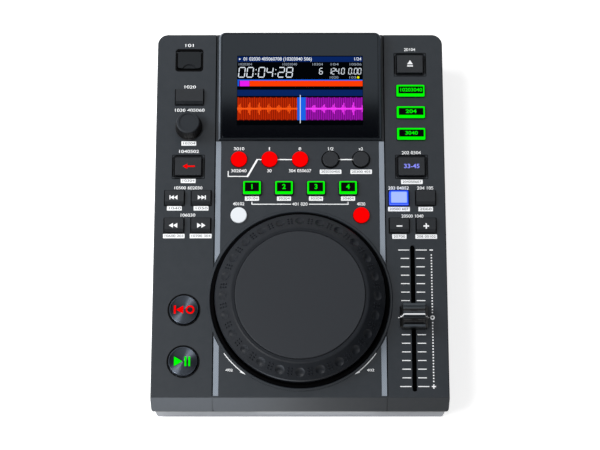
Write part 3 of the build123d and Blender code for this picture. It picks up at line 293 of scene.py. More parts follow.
def key_abs():
    # Key caps in dark ABS with a tighter grain than the case.
    material, tree, shader = coat("fine_grain_key_abs", "#171b20", 0.44)
    grain(tree, shader, 0.4, 0.008, ("#15191e", "#191d22"))
    return material


def soft_touch():
    # Soft-touch rubber over the knob: matt. Painted shade: its flanks are painted near-black, darkest
    # towards the foot, and only the top keeps a grey.
    material, tree, shader = coat("soft_touch_rubber", "#1a1e22", 0.5, Specular_IOR_Level=0.3)
    grain(tree, shader, 0.5, 0.008)
    top = top_of("select_knob")
    painted_flank_shade = along(tree, "Z", ((top - 5.0, "#020203"), (top - 1.4, "#07080b"), (top - 0.9, "#22262b")))
    tree.links.new(painted_flank_shade, shader.inputs["Base Color"])
    return material


def fader_abs():
    # The fader cap's ABS, with painted light and shade. Along Y come the front lip, a hollow, the ridge,
    # a hollow and the rear lip: the hollows are painted dark as painted shade, the lips and ridge paler
    # as painted highlights.
    material, tree, shader = coat("fader_abs_painted_light_and_shade", "#1b1f24", 0.36)
    grain(tree, shader, 0.4, 0.006)
    top, mid = top_of("fader_cap"), middle("fader_cap")[1]
    painted_light_and_shade = along(tree, "Y", [(mid + at, shade) for at, shade in (
        (-9.2, "#3a4046"), (-7.4, "#3a4046"), (-7.0, "#050608"), (-2.6, "#050608"), (-2.2, "#2a2f34"),
        (2.8, "#30353a"), (3.1, "#090a0d"), (4.8, "#090a0d"), (5.2, "#3c4247"), (9.2, "#3c4247"))])
    # Painted shade: the cap's skirt is painted darker towards its foot.
    shade = along(tree, "Z", ((top - 9.0, "#303030"), (top - 6.0, "#707070"), (top - 4.6, "#ffffff")))
    shaded(tree, shader, painted_light_and_shade, shade)
    return material


def lit(name, shade, glow, strength=1.0, foot=None):
    # Silicone rubber that a lamp shines through: even colour, soft skin, little gloss, and with a
    # foot shade darker where the key enters the panel.
    material, tree, shader = coat(name, shade, 0.6, Specular_IOR_Level=0.0)
    shader.inputs["Emission Color"].default_value = linear(glow)
    shader.inputs["Emission Strength"].default_value = strength
    grain(tree, shader, 0.6, 0.01)
    if foot:
        glow = along(tree, "Z", ((PANEL, foot), (PANEL + 0.7, foot), (PANEL + 1.3, glow)))
        tree.links.new(glow, shader.inputs["Emission Color"])
    return material


def ink(name, shade):
    # Screen-printed ink: thin, opaque and matt.
    material, tree, shader = coat(name, shade, 0.6, Specular_IOR_Level=0.2)
    grain(tree, shader, 0.3, 0.004)
    return material


def metal(name, shade, roughness):
    # Plain plated or rolled metal with faint marks of its making.
    material, tree, shader = coat(name, shade, roughness, Metallic=1.0)
    grain(tree, shader, 0.4, 0.004, (shade, shade))
    return material


def board_green():
    # Green solder mask on glass-fibre board: smooth, with the weave just felt.
    material, tree, shader = coat("green_solder_mask", "#14502f", 0.35)
    grain(tree, shader, 0.6, 0.01, ("#124a2b", "#175634"))
    return material


def moulded(name, shade, roughness, specular=0.35):
    # Small parts moulded in nylon or hard rubber.
    material, tree, shader = coat(name, shade, roughness, Specular_IOR_Level=specular)
    grain(tree, shader, 0.5, 0.01, (shade, shade))
    return material


def finishes(props):
    """Every slot of the frame with its finish."""
    return {
        "housing": charcoal_abs(),
        "base_tray": silver_lacquer(),
        "riser": piano_black(),
        "lens": hard_acrylic(),
        "display": moulded("display_glass", "#101318", 0.25),
        "trim": dotted_foil(),
        # The well is painted near-black and matt, as painted shade in the gap round the wheel.
        "well": moulded("black_well_shade", "#020203", 0.6, 0.04),
        "jog_ring": graphite_abs(),
        "jog_plate": touch_plate(),
        "steel": metal("zinc_plated_steel", "#aeb0b3", 0.35),
        "bronze": metal("sintered_bronze", "#a8804a", 0.45),
        "board": board_green(),
        "socket": moulded("black_nylon", "#151517", 0.4),
        "foot": moulded("black_foot_rubber", "#18181a", 0.8),
        "key_dark": key_abs(),
        "key_red": lit("red_lit_silicone", "#300102", props.red_light, 0.95, "#480000"),
        "key_white": lit("white_lit_silicone", "#b4b8bc", props.white_light, 0.42, "#50545a"),
        "key_green": lit("green_lit_silicone", "#021c03", props.green_light, 0.97),
        "key_blue": lit("blue_lit_silicone", "#202c60", "#b0c6ff", 0.9, props.blue_light),
        "knob": soft_touch(),
    }


# ---------------------------------------------------------------- flat shapes, in millimetres
def laid(x, y, turn, width, depth):
    """A unit shape's place, turn and size."""
    return (Matrix.Translation((x, y, 0)) @ Matrix.Rotation(turn, 4, "Z")
            @ Matrix.Diagonal((width, depth, 1, 1)))


def slab(bm, width, depth, x=0.0, y=0.0, turn=0.0, corner=0.0):
    """A flat plate, with its corners rounded if asked; returns its face."""
    old = set(bm.faces)
    made = bmesh.ops.create_grid(bm, x_segments=1, y_segments=1, size=0.5,
                                 matrix=laid(x, y, turn, width, depth))
    if corner:
        bmesh.ops.bevel(bm, geom=made["verts"], offset=corner, affect="VERTICES", segments=4,
                        profile=0.5, material=-1)
    return next(face for face in bm.faces if face not in old)


def border(bm, width, depth, band, x=0.0, y=0.0, corner=0.0):
    """A frame of even width round an open middle."""
    face = slab(bm, width, depth, x, y, corner=corner)
    bmesh.ops.inset_region(bm, faces=[face], thickness=band, use_boundary=True, use_even_offset=True)
    bmesh.ops.delete(bm, geom=[face], context="FACES")


def disc(bm, radius, x=0.0, y=0.0, sides=32, turn=0.0, squeeze=1.0):
    """A round plate, or with three sides a pointer that points to +Y before its turn."""
    bmesh.ops.create_circle(bm, cap_ends=True, segments=sides, radius=radius,
                            matrix=laid(x, y, turn, squeeze, 1))


def arc(bm, radius, width, start, sweep, x=0.0, y=0.0, steps=40):
    """A curved line round a centre; a full sweep closes into a ring."""
    ends = [bm.verts.new((x + radius + side * width / 2, y, 0)) for side in (-1, 1)]
    edge = bm.edges.new(ends)
    bmesh.ops.rotate(bm, verts=ends, cent=(x, y, 0), matrix=Matrix.Rotation(start, 3, "Z"))
    bmesh.ops.spin(bm, geom=ends + [edge], cent=(x, y, 0), axis=(0, 0, 1), angle=sweep, steps=steps,
                   use_merge=abs(sweep) > 1.99 * pi, use_duplicate=False)


def stroke(bm, points, width):
    """A line of straight runs with square ends, each run starting where the one before it stops."""
    for i, ((ax, ay), (bx, by)) in enumerate(zip(points, points[1:])):
        way = atan2(by - ay, bx - ax)
        start = width / 2 if i else -width / 2
        end = ((bx - ax) ** 2 + (by - ay) ** 2) ** 0.5 + width / 2
        half = (start + end) / 2
        slab(bm, end - start, width, ax + half * cos(way), ay + half * sin(way), way)


def cross(bm, reach, width, x=0.0, y=0.0):
    """A plus sign in three pieces that touch without lying over each other."""
    slab(bm, reach, width, x, y)
    for side in (-1, 1):
        slab(bm, width, (reach - width) / 2, x, y + side * (reach + width) / 4)


def figures(bm, text, size, x, y, weight=0.0, width=None):
    """Plain figures, centred on a point and drawn out to a width if one is given."""
    curve = bpy.data.curves.new("figures", "FONT")
    curve.body, curve.size, curve.offset = text, size, weight
    curve.align_x, curve.align_y = "CENTER", "CENTER"
    holder = bpy.data.objects.new("figures", curve)
    bpy.context.scene.collection.objects.link(holder)
    graph = bpy.context.evaluated_depsgraph_get()
    mesh = bpy.data.meshes.new_from_object(holder.evaluated_get(graph))
    span = max(v.co.x for v in mesh.vertices) - min(v.co.x for v in mesh.vertices)
    stretch = width / span if width else 1.0
    mesh.transform(Matrix.Translation((x, y, 0)) @ Matrix.Diagonal((stretch, 1, 1, 1)))
    bm.from_mesh(mesh)
    bpy.data.objects.remove(holder)
    bpy.data.curves.remove(curve)
    bpy.data.meshes.remove(mesh)
    bmesh.ops.remove_doubles(bm, verts=bm.verts, dist=0.001)


SEGMENTS = {"0": "abcdef", "1": "bc", "2": "abged", "3": "abgcd", "4": "fgbc", "5": "afgcd",
            "6": "afgedc", "7": "abc", "8": "abcdefg", "9": "abcdfg"}


def segment_figure(bm, figure, x, y, width, height, bar):
    """One seven-bar figure with its lower left corner at a point."""
    if figure in ":.":
        for rise in (0.28, 0.72) if figure == ":" else (0.0,):
            slab(bm, bar, bar, x + bar / 2, y + rise * height + bar / 2)
        return
    half = height / 2
    bars = {"a": (width / 2, height, 1), "b": (width, 0.75 * height, 0), "c": (width, 0.25 * height, 0),
            "d": (width / 2, 0, 1), "e": (0, 0.25 * height, 0), "f": (0, 0.75 * height, 0),
            "g": (width / 2, half, 1)}
    for name in SEGMENTS[figure]:
        across, up, flat = bars[name]
        size = (width - bar, bar) if flat else (bar, half - bar)
        slab(bm, *size, x + across, y + up)


def segment_row(bm, text, x, y, width, height, bar, gap):
    """A row of seven-bar figures, leaning a little to the right."""
    before = set(bm.verts)
    for figure in text:
        segment_figure(bm, figure, x, y, width, height, bar)
        x += (bar if figure in ":." else width) + gap
    for vert in set(bm.verts) - before:
        vert.co.x += 0.1 * (vert.co.y - y)


def spread(left, right, pitch):
    """The middles of equal steps between two ends, each at least a pitch wide."""
    count = int((right - left) / pitch)
    return [left + (i + 0.5) * (right - left) / count for i in range(count)]


def teeth(bm, left, right, centre, depth):
    """Even upright bars, every third a little longer."""
    for i, x in enumerate(spread(left, right, 1.35)):
        slab(bm, 0.85, depth * (0.94 if i % 3 else 1.0), x, centre)


def sound_columns(bm, left, right, centre, reach, seed):
    """Narrow columns on a centre line, with bursts that come and go as a recording's do."""
    slab(bm, right - left, 1.0, (left + right) / 2, centre)
    for x in spread(left, right, 0.9):
        beat = abs(cos(0.42 * x + seed)) ** 9
        height = reach * (0.14 + 0.62 * beat + 0.24 * beat * sin(5.1 * x + seed))
        slab(bm, 0.6, 2 * height, x, centre)


# ---------------------------------------------------------------- pieces
def seated(name, body, material, draw, place, thickness=0.08):
    """Draws flat shapes, gives them their thickness and sets them on the object."""
    bm = bmesh.new()
    draw(bm)
    grown = bmesh.ops.extrude_face_region(bm, geom=list(bm.faces))
    risen = [g for g in grown["geom"] if isinstance(g, bmesh.types.BMVert)]
    bmesh.ops.translate(bm, verts=risen, vec=(0, 0, thickness))
    bmesh.ops.recalc_face_normals(bm, faces=bm.faces)
    bmesh.ops.scale(bm, vec=(MM, MM, MM), verts=bm.verts)
    bmesh.ops.transform(bm, matrix=place, verts=bm.verts)
    return piece(name, body, material, bm)


def piece(name, body, material, bm):
    """Makes a mesh object of a bmesh, in its place, and lets it ride on a body."""
    mesh = bpy.data.meshes.new(name)
    bm.to_mesh(mesh)
    bm.free()
    made = bpy.data.objects.new(name, mesh)
    bpy.context.scene.collection.objects.link(made)
    mesh.materials.append(material)
    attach(made, body)
    return made


def on(x, y, height):
    """A place on a level face, from millimetres."""
    return Matrix.Translation((x * MM, y * MM, height * MM))


def paint(node, material):
    """Gives a piece of the frame its finish."""
    data = NODES[node].data
    data.materials.clear()
    data.materials.append(material)


# ---------------------------------------------------------------- settings
class PlayerFinish(bpy.types.PropertyGroup):
    """Colours of the lit keys and the print."""

    red_light: bpy.props.StringProperty(name="Red light", description="Glow of the red keys",
                                        default="#ff0000")
    green_light: bpy.props.StringProperty(name="Green light", description="Glow of the green keys",
                                          default="#00ff00")
    white_light: bpy.props.StringProperty(name="White light", description="Glow of the white key",
                                          default="#ecf1f6")
    blue_light: bpy.props.StringProperty(name="Blue light", description="Glow of the blue key",
                                         default="#0a46ff")
    ink_shade: bpy.props.StringProperty(name="Ink", description="Colour of the printed marks",
                                        default="#f8fafc")


class PlayerPrint(bpy.types.PropertyGroup):
    """Sizes of the printed marks, in metres."""

    line: bpy.props.FloatProperty(name="Line", description="Width of a printed line", default=0.6 * MM,
                                  unit="LENGTH", precision=5)
    tick: bpy.props.FloatProperty(name="Tick pitch", description="Spacing of the fader's scale",
                                  default=6.4 * MM, unit="LENGTH", precision=5)
    figure: bpy.props.FloatProperty(name="Figure", description="Size of the small figures",
                                    default=3.4 * MM, unit="LENGTH", precision=5)


# ---------------------------------------------------------------- operators
class PLAYER_OT_finishes(bpy.types.Operator):
    """Gives every piece of the frame its finish"""

    bl_idname = "player.finishes"
    bl_label = "Finish the frame"

    def execute(self, context):
        made = finishes(context.scene.player_finish)
        made["key_metal"] = made["key_dark"]
        for node in NODES:
            paint(node, made[SLOTS[node]])
        for node in TRANSPORT_KEYS:
            paint(node, spun_metal("spun_" + node, node))
        # The fader's body and lever and the USB frame are painted near-black so that the fader's slot
        # and the USB recess read as shade: painted shade.
        slot_shade = moulded("black_slot_shade", "#040405", 0.7, 0.1)
        for node in ("fader_body", "fader_lever", "usb_frame"):
            paint(node, slot_shade)
        paint("usb_flap", moulded("matt_flap_nylon", "#13171b", 0.55, 0.3))
        paint("fader_cap", fader_abs())
        for node in PADS + MODE_KEYS:
            paint(node, made["key_dark"])
        return {"FINISHED"}


# Words by the controls, as plain figures: the figures, their width, their shift along Y from the
# nodes' middle, and the nodes. FIELDS are the ones printed dark on white.
LABELS = (
    ("101", 6.5, 11.9, "usb_frame"),
    ("1020", 8.7, 8.2, "back_button"),
    ("1030 405060", 22.5, 13.7, "select_knob"),
    ("1040502", 15.0, 12.0, "direction_button"),
    ("10500 602030", 21.0, 7.9, "track_back_button", "track_next_button"),
    ("106030", 11.0, 8.0, "search_back_button", "search_forward_button"),
    ("20104", 8.7, 12.1, "eject_button"),
    ("202 0304", 14.5, 11.0, "jog_mode_button"),
    ("203 04052", 15.5, 7.8, "key_lock_button"),
    ("204 105", 12.2, 7.8, "tempo_tap_button"),
    ("20500 1040", 16.5, 7.3, "bend_down_button", "bend_up_button"),
    ("3010", 8.0, 8.4, "auto_loop_button"),
    ("1", 1.0, 8.4, "loop_in_button"),
    ("8", 2.0, 8.4, "loop_out_button"),
    ("1/2", 4.2, 8.4, "loop_half_button"),
    ("x2", 3.4, 8.4, "loop_double_button"),
    ("40102", 8.4, 8.9, "shift_button"),
    ("4020", 6.2, 8.8, "slip_button"),
    ("302040", 11.6, -8.9, "auto_loop_button"),
    ("30", 3.4, -8.9, "loop_in_button"),
    ("304 050607", 17.0, -8.9, "loop_out_button"),
)
FIELDS = (
    ("10204", 11.2, -12.6, "select_knob"),
    ("10304", 11.2, -11.0, "direction_button"),
    ("1040", 11.1, -7.9, "track_back_button"),
    ("1050", 11.1, -7.9, "track_next_button"),
    ("10600 203", 16.1, -8.0, "search_back_button"),
    ("10700 304", 16.3, -8.0, "search_forward_button"),
    ("202030405", 16.2, -9.6, "loop_half_button"),
    ("20300 405", 16.2, -9.6, "loop_double_button"),
    ("204050607", 16.3, -11.8, "jog_mode_button"),
    ("20500 607", 16.3, -8.5, "key_lock_button"),
    ("2060", 10.9, -8.5, "tempo_tap_button"),
    ("20700", 10.7, -8.4, "bend_down_button"),
    ("208 00102", 16.2, -8.4, "bend_up_button"),
    *((f"30{i}04", 10.6, -8.0, pad) for i, pad in enumerate(PADS, 1)),
)


class PLAYER_OT_panel_print(bpy.types.Operator):
    """Prints the scales, rules, plain figures and label fields on the panel"""

    bl_idname = "player.panel_print"
    bl_label = "Print the panel"

    def execute(self, context):
        props = context.scene.player_print
        line, figure = props.line / MM, props.figure / MM
        white = ink("white_screen_ink", context.scene.player_finish.ink_shade)
        dark = ink("dark_screen_ink", "#3c4048")

        labels, fields = [[(text, width, middle(*nodes)[0], middle(*nodes)[1] + shift)
                           for text, width, shift, *nodes in rows] for rows in (LABELS, FIELDS)]

        def marks(bm):
            for text, width, x, y in labels:
                figures(bm, text, figure, x, y, 0.07, width)
            for _, width, x, y in fields:
                slab(bm, width, 3.4, x, y, corner=0.35)
            self.loop_lines(bm, line)
            self.cue_bracket(bm, line, figure)
            self.turning_arrows(bm, line, figure)
            self.fader_scale(bm, line, props.tick / MM)

        def slanted_mark(bm):
            left, y = middle("auto_loop_button")
            stroke(bm, [(left + 6.6, y - 13.0), (left + 13.6, y - 0.4)], 2.3 * line)

        def field_figures(bm):
            for text, width, x, y in fields:
                figures(bm, text, 0.75 * figure, x, y, 0.0, width - 2.2)

        seated("panel_print", "console", white, marks, on(0, 0, PANEL), 0.06)
        seated("panel_print_slant", "console", white, slanted_mark, on(0, 0, PANEL), 0.04)
        seated("field_figures", "console", dark, field_figures, on(0, 0, PANEL + 0.06), 0.04)
        return {"FINISHED"}

    def loop_lines(self, bm, line):
        """Lines that tie the round keys together."""
        left, y = middle("auto_loop_button")
        entry = middle("loop_in_button")[0]
        stroke(bm, [(left - 8.0, y - 9.4), (left - 8.0, y - 13.2), (left + 6.4, y - 13.2)], 1.2 * line)
        stroke(bm, [(left + 13.8, y), (entry - 6.4, y)], 1.2 * line)
        for first, second in (("loop_in_button", "loop_out_button"),
                              ("loop_half_button", "loop_double_button")):
            stroke(bm, [(middle(first)[0] + 6.5, y), (middle(second)[0] - 6.5, y)], 1.4 * line)

    def cue_bracket(self, bm, line, figure):
        """Bracket under the four pads, open at its middle for a figure."""
        y = middle(PADS[0])[1] - 12.4
        left, right = middle(PADS[0])[0], middle(PADS[3])[0]
        for end, inner in ((left, -7.0), (right, 7.0)):
            stroke(bm, [(end, y + 1.6), (end, y), (inner, y)], 1.1 * line)
        figures(bm, "401 020", figure, (left + right) / 2, y, 0.07, 11.5)

    def turning_arrows(self, bm, line, figure):
        """Two arrows along the wheel's lip that show which way it turns."""
        radius, sweep = LIP_EDGE + 0.2 * line, radians(15)
        for side in (1, -1):
            start = -pi / 2 + side * radians(54)
            arc(bm, radius, line, start, -side * sweep, JOG_X, JOG_Y, 16)
            tip = start - side * (sweep + 1.5 / radius)
            disc(bm, 2.9, JOG_X + radius * cos(tip), JOG_Y + radius * sin(tip), 3,
                 tip - side * pi / 2 - pi / 2, 0.45)
            figures(bm, "402", 0.8 * figure, side * 51.6, JOG_Y - 53.0, 0.05, 5.4)

    def fader_scale(self, bm, line, pitch):
        """Ticks each side of the fader's slot and a dotted line with its signs."""
        x, y = middle("fader_cap")
        steps = 8  # ticks each way from the middle one
        for i in range(-steps, steps + 1):
            near, far = {0: (2.4, 11.4), steps: (2.4, 10.6)}.get(abs(i), (2.6, 8.9))
            for side in (-1, 1):
                slab(bm, far - near, 1.1 * line, x + side * (far + near) / 2, y + i * pitch)
        dots_x, end, dots = x + 13.9, steps * pitch, 22
        for i in range(1, dots):
            for side in (-1, 1):
                slab(bm, 1.0, 1.0, dots_x, y + side * (1.6 + i * (end - 3.2) / dots))
        arc(bm, 1.25, 0.95, 0, 2 * pi, dots_x, y, 20)
        slab(bm, 2.6, 0.8, dots_x, y + end)
        cross(bm, 3.2, 0.8, dots_x, y - end)


class PLAYER_OT_screen(bpy.types.Operator):
    """Lights the display behind its lens"""

    bl_idname = "player.screen"
    bl_label = "Light the display"

    def execute(self, context):
        place = screen_place()
        half_w, half_d = 47.5, 26.9  # the lit area
        title_y, clock_y, digits_y = half_d - 2.4, half_d - 16.6, half_d - 14.2
        bar_y, bar_d = half_d - 21.6, 4.3  # the track's bar
        wave_y, wave_d = half_d - 41.3, 17.8  # the wave's band
        past, ahead = -2.2, 4.4  # where the wave stops and goes on beside the play point

        def plates(*sizes):
            return lambda bm: [slab(bm, *size) for size in sizes]

        def white(bm):
            segment_row(bm, "00:04:28", -46.8, clock_y, 4.5, 7.6, 0.72, 1.75)
            segment_row(bm, "6", 14.6, digits_y, 2.3, 4.6, 0.55, 0.9)
            segment_row(bm, "124.0", 21.2, digits_y, 2.2, 4.6, 0.5, 0.75)
            segment_row(bm, "0.00", 36.8, digits_y, 2.2, 4.6, 0.5, 0.75)
            slab(bm, 0.55, 22.0, 0.2, wave_y - 0.3)
            disc(bm, 1.0, -half_w + 1.6, title_y, 3, -pi / 2)
            figures(bm, "01 02030 405060708 (10203040 506)", 3.6, -17.0, title_y, 0.05, 52.0)
            figures(bm, "1/24", 3.4, half_w - 3.8, title_y, 0.03)

        def grey(bm):
            above, below = half_d - 6.6, half_d - 16.9
            for text, x, y, width in (("1020304", -41.8, above, 10.0), ("10203040", -8.0, above, 11.0),
                                      ("10304", 13.2, above, 8.0), ("104", 26.0, above, 6.0),
                                      ("10506", 42.0, above, 9.0), ("1020", 25.6, below, 6.5),
                                      ("103", 39.8, below, 5.0)):
                figures(bm, text, 2.6, x, y, 0.0, width)

        for name, shade, level, draw in (
                ("ground", "#000102", 0, plates((2 * half_w + 0.6, 2 * half_d + 0.6))),
                ("navy", "#07235f", 1, plates((2 * half_w, 4.2, 0, half_d - 2.5),
                                              (2 * half_w, 4.8, 0, half_d - 28.9))),
                ("blue", "#1a62e6", 2, plates((2 * half_w, 0.9, 0, half_d - 18.9),
                                              (6.4, wave_d, 1.1, wave_y),
                                              (1.0, 4.2, -half_w + 0.6, bar_y))),
                ("orange", "#ff3c00", 2, plates((2 * half_w - 9.2, bar_d, 4.6, bar_y))),
                ("red_band", "#6e1000", 2, plates((45.4, wave_d, -24.8, wave_y))),
                ("purple_band", "#5a0664", 2, plates((43.2, wave_d, 25.9, wave_y))),
                ("red_teeth", "#c42c00", 3, lambda bm: teeth(bm, -half_w, past, wave_y, wave_d)),
                ("purple_teeth", "#a414b4", 3, lambda bm: teeth(bm, ahead, half_w, wave_y, wave_d)),
                ("red_sound", "#ff5a14", 4,
                 lambda bm: sound_columns(bm, -half_w, past, wave_y, 5.2, 0.4)),
                ("purple_sound", "#ff3cff", 4,
                 lambda bm: sound_columns(bm, ahead, half_w, wave_y, 5.2, 1.9)),
                ("magenta", "#e81cf0", 3, plates((7.2, bar_d, -half_w + 5.4, bar_y))),
                ("white", "#e6eef6", 4, white),
                ("grey", "#9aa4b0", 4, grey),
                ("yellow", "#f0f000", 4, lambda bm: disc(bm, 0.95, 44.2, half_d - 16.8, 16))):
            seated("display_" + name, "console", lit("display_" + name, "#020304", shade),
                   draw, place @ Matrix.Translation((0, 0, level * 0.02 * MM)), 0.03)
        return {"FINISHED"}


class PLAYER_OT_key_surrounds(bpy.types.Operator):
    """Lays black sheets round the keys and beside the strips as painted shade in their gaps"""

    bl_idname = "player.key_surrounds"
    bl_label = "Surround the keys"

    def execute(self, context):
        # Every piece here is a black sheet, laid where the gaps round the keys and beside the strips
        # fall in shade: painted shade.
        gap_shade = moulded("black_painted_gap_shade", "#060607", 0.7, 0.1)

        def rings(bm, keys, grow, band, corner):
            for key in keys:
                x, y, width, depth = cap(key)
                border(bm, width + grow, depth + grow, band, x, y, corner)

        def round_rings(bm, keys, grow, band, steps):
            for key in keys:
                x, y, width, _ = cap(key)
                arc(bm, width / 2 + grow, band, 0, 2 * pi, x, y, steps)

        def key_gap_shade_rings(bm):
            rings(bm, COLUMN_KEYS, 2 * (KEY_GAP + 0.55), 0.5, 0.6)
            round_rings(bm, TRANSPORT_KEYS, 1.15, 0.8, 48)
            round_rings(bm, ("loop_half_button", "loop_double_button"), KEY_GAP + 0.35, 0.6, 36)

        def sunk_gap_shade(bm):
            rings(bm, FRAMED_KEYS, 3.9, 0.6, 0.6)
            rings(bm, FRAMED_KEYS, 1.9, 0.6, 0.6)

        def frame_gap_shade(bm):
            rings(bm, FRAMED_KEYS, 5.0, 0.45, 0.8)

        def strip_gap_lines(bm):
            low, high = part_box("trim_strips")
            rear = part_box("top_housing")[1][1] / MM - 1.5
            x, front = high[0] / MM + 0.45, low[1] / MM
            reach = ((LIP_EDGE + 1.2) ** 2 - x**2) ** 0.5
            for side in (-1, 1):
                for start, end in ((front, JOG_Y - reach), (JOG_Y + reach, rear)):
                    slab(bm, 0.84, end - start, side * x, (start + end) / 2)

        for name, draw, sink, thickness in (
                ("key_gap_shade", key_gap_shade_rings, 0, 0.08), ("frame_gap_shade", frame_gap_shade, 0, 0.06),
                ("strip_gap_shade", strip_gap_lines, 1.4, 0.06), ("sunk_gap_shade", sunk_gap_shade, 1.1, 0.1)):
            seated(name, "console", gap_shade, draw, on(0, 0, PANEL - sink), thickness)
        return {"FINISHED"}


class PLAYER_OT_key_signs(bpy.types.Operator):
    """Puts the lit faces and signs on the keys"""

    bl_idname = "player.key_signs"
    bl_label = "Sign the keys"

    def execute(self, context):
        colours = context.scene.player_finish
        red = lit("red_lit_sign", "#400000", colours.red_light)
        green = bpy.data.materials["green_lit_silicone"]
        violet = lit("violet_lit_sign", "#101030", "#8f94ff")
        blue = lit("blue_lit_edge", "#0c1a60", colours.blue_light)
        halo = lit("pale_blue_lit_halo", "#1a2a60", "#7a9cff", 0.95)
        white = bpy.data.materials["white_screen_ink"]
        black = moulded("black_key_face", "#020203", 0.5, 0.04)

        layer = 0.07  # the thickness of every sign

        def sign(key, suffix, material, draw, sink=0.0):
            x, y = middle(key)
            seated(key.replace("_button", "") + suffix, key.replace("_button", "_key"),
                   material, draw, on(x, y, top_of(key) - sink), layer)

        for key in PADS + MODE_KEYS:
            _, _, width, depth = cap(key)
            edge, band, shift = (1.0, 3.5, 0.0) if key in PADS else (0.3, 2.9, 0.25)
            sign(key, "_border", green,
                 lambda bm: slab(bm, width - edge, depth - edge, 0, -0.1, corner=0.8))
            sign(key, "_face", black,
                 lambda bm: slab(bm, width - band, depth - 4.0, shift, 0.5, corner=0.4), -layer)
        for figure, key in zip("1234", PADS):
            sign(key, "_figure", green,
                 lambda bm: figures(bm, figure, 5.2, 0, 0.5, 0.14), -2 * layer)
        for key, text, span in zip(MODE_KEYS, ("10203040", "204", "3040"), (16.6, 8.2, 9.4)):
            sign(key, "_figure", green,
                 lambda bm: figures(bm, text, 3.9, 0.25, 0.5, 0.08, span), -2 * layer)
        sign("direction_button", "_symbol", red, self.backwards)
        sign("jog_mode_button", "_figure", violet,
             lambda bm: figures(bm, "33-45", 4.6, 0, 0, 0.1, 11.6))
        sign("eject_button", "_symbol", white, self.eject)
        _, _, width, depth = cap("key_lock_button")
        sign("key_lock_button", "_edge", blue, lambda bm: slab(bm, width, depth, corner=0.7))
        sign("key_lock_button", "_halo", halo,
             lambda bm: slab(bm, width - 1.6, depth - 1.6, corner=0.8), -layer)
        sign("key_lock_button", "_face", bpy.data.materials["blue_lit_silicone"],
             lambda bm: slab(bm, width - 2.6, depth - 2.6, corner=0.8), -2 * layer)
        for key, draw in (("track_back_button", lambda bm: self.skip(bm, -1)),
                          ("track_next_button", lambda bm: self.skip(bm, 1)),
                          ("search_back_button", lambda bm: self.wind(bm, -1)),
                          ("search_forward_button", lambda bm: self.wind(bm, 1)),
                          ("bend_down_button", self.minus),
                          ("bend_up_button", self.plus)):
            sign(key, "_symbol", white, draw)
        dish = 0.25  # how far the metal caps are hollowed
        sign("cue_button", "_symbol", red, self.return_to_point, dish)
        sign("play_button", "_symbol", green, self.play_pause, dish)
        return {"FINISHED"}

    def backwards(self, bm):
        disc(bm, 2.3, -1.9, 0, 3, pi / 2)
        slab(bm, 5.75, 1.1, 2.125, 0)

    def eject(self, bm):
        disc(bm, 2.2, 0, 0.9, 3, 0, 1.15)
        slab(bm, 4.4, 0.95, 0, -1.6)

    def skip(self, bm, side):
        for x in (-1.5, 1.2):
            disc(bm, 1.8, side * x, -0.1, 3, -side * pi / 2, 1.1)
        slab(bm, 0.8, 3.2, side * 3.2, -0.1)

    def wind(self, bm, side):
        for x in (-1.6, 1.6):
            disc(bm, 2.05, side * x, -0.4, 3, -side * pi / 2, 1.1)

    def minus(self, bm):
        slab(bm, 4.3, 0.95, 0, -0.9)

    def plus(self, bm):
        cross(bm, 4.2, 1.05, 0, -0.9)

    def return_to_point(self, bm):
        slab(bm, 1.5, 6.2, -6.6, 0)
        disc(bm, 3.5, -2.2, 0, 3, pi / 2)
        arc(bm, 2.6, 1.2, 0, 2 * pi, 4.6, 0, 32)

    def play_pause(self, bm):
        disc(bm, 4.1, -4.5, 0, 3, -pi / 2)
        for x in (1.8, 4.6):
            slab(bm, 1.35, 7.1, x, 0)


class PLAYER_OT_jog_studs(bpy.types.Operator):
    """Sets the grip studs on the wheel's sloping face"""

    bl_idname = "player.jog_studs"
    bl_label = "Stud the jog wheel"

    def execute(self, context):
        low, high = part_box("jog_rim")
        rim_radius = (high[0] - low[0]) / 2 / MM
        run, rise = 11.7, 7.6  # of the sloping face
        slope = atan2(rise, run)
        groups, row_pitch, column_pitch = 24, 2.3, 2.4
        bm = bmesh.new()
        for i in range(groups):
            turn = 2 * pi * (i + 0.5) / groups
            for row in (-1, 0, 1):
                for side in (-0.5, 0.5):
                    shift = row * row_pitch
                    radius = rim_radius - run / 2 - shift * cos(slope)
                    height = high[2] / MM - rise / 2 + shift * sin(slope)
                    spot = (Matrix.Translation((JOG_X, JOG_Y, 0)) @ Matrix.Rotation(turn, 4, "Z")
                            @ Matrix.Translation((radius, side * column_pitch, height))
                            @ Matrix.Rotation(slope, 4, "Y"))
                    bmesh.ops.create_cone(bm, cap_ends=True, segments=10, radius1=0.75, radius2=0.45,
                                          depth=0.7, matrix=spot)
        bmesh.ops.recalc_face_normals(bm, faces=bm.faces)
        bmesh.ops.scale(bm, vec=(MM, MM, MM), verts=bm.verts)
        piece("jog_studs", "jog_wheel", bpy.data.materials["satin_graphite_abs"], bm)
        return {"FINISHED"}


class PLAYER_OT_fader_line(bpy.types.Operator):
    """Draws the white line across the fader's cap, down its flanks and onto its foot"""

    bl_idname = "player.fader_line"
    bl_label = "Line the fader cap"

    def execute(self, context):
        x, y = middle("fader_cap")
        ridge, band = top_of("fader_cap"), 0.88
        white = bpy.data.materials["white_screen_ink"]

        def line(name, length, shift, place, thickness):
            seated(name, "pitch_slider", white,
                   lambda bm: slab(bm, length, band, shift), place, thickness)

        line("fader_line", 15.1, 0.0, on(x, y, ridge - 0.3), 0.25)
        for side, name in ((-1, "left"), (1, "right")):
            lean = Matrix.Rotation(side * radians(82.4), 4, "Y")
            line("fader_flank_line_" + name, 8.7, 0.0, on(x + side * 8.2, y, ridge - 4.55) @ lean, 0.06)
            line("fader_foot_line_" + name, 1.1, side * 9.5, on(x, y, ridge - 9.0), 0.06)
        return {"FINISHED"}


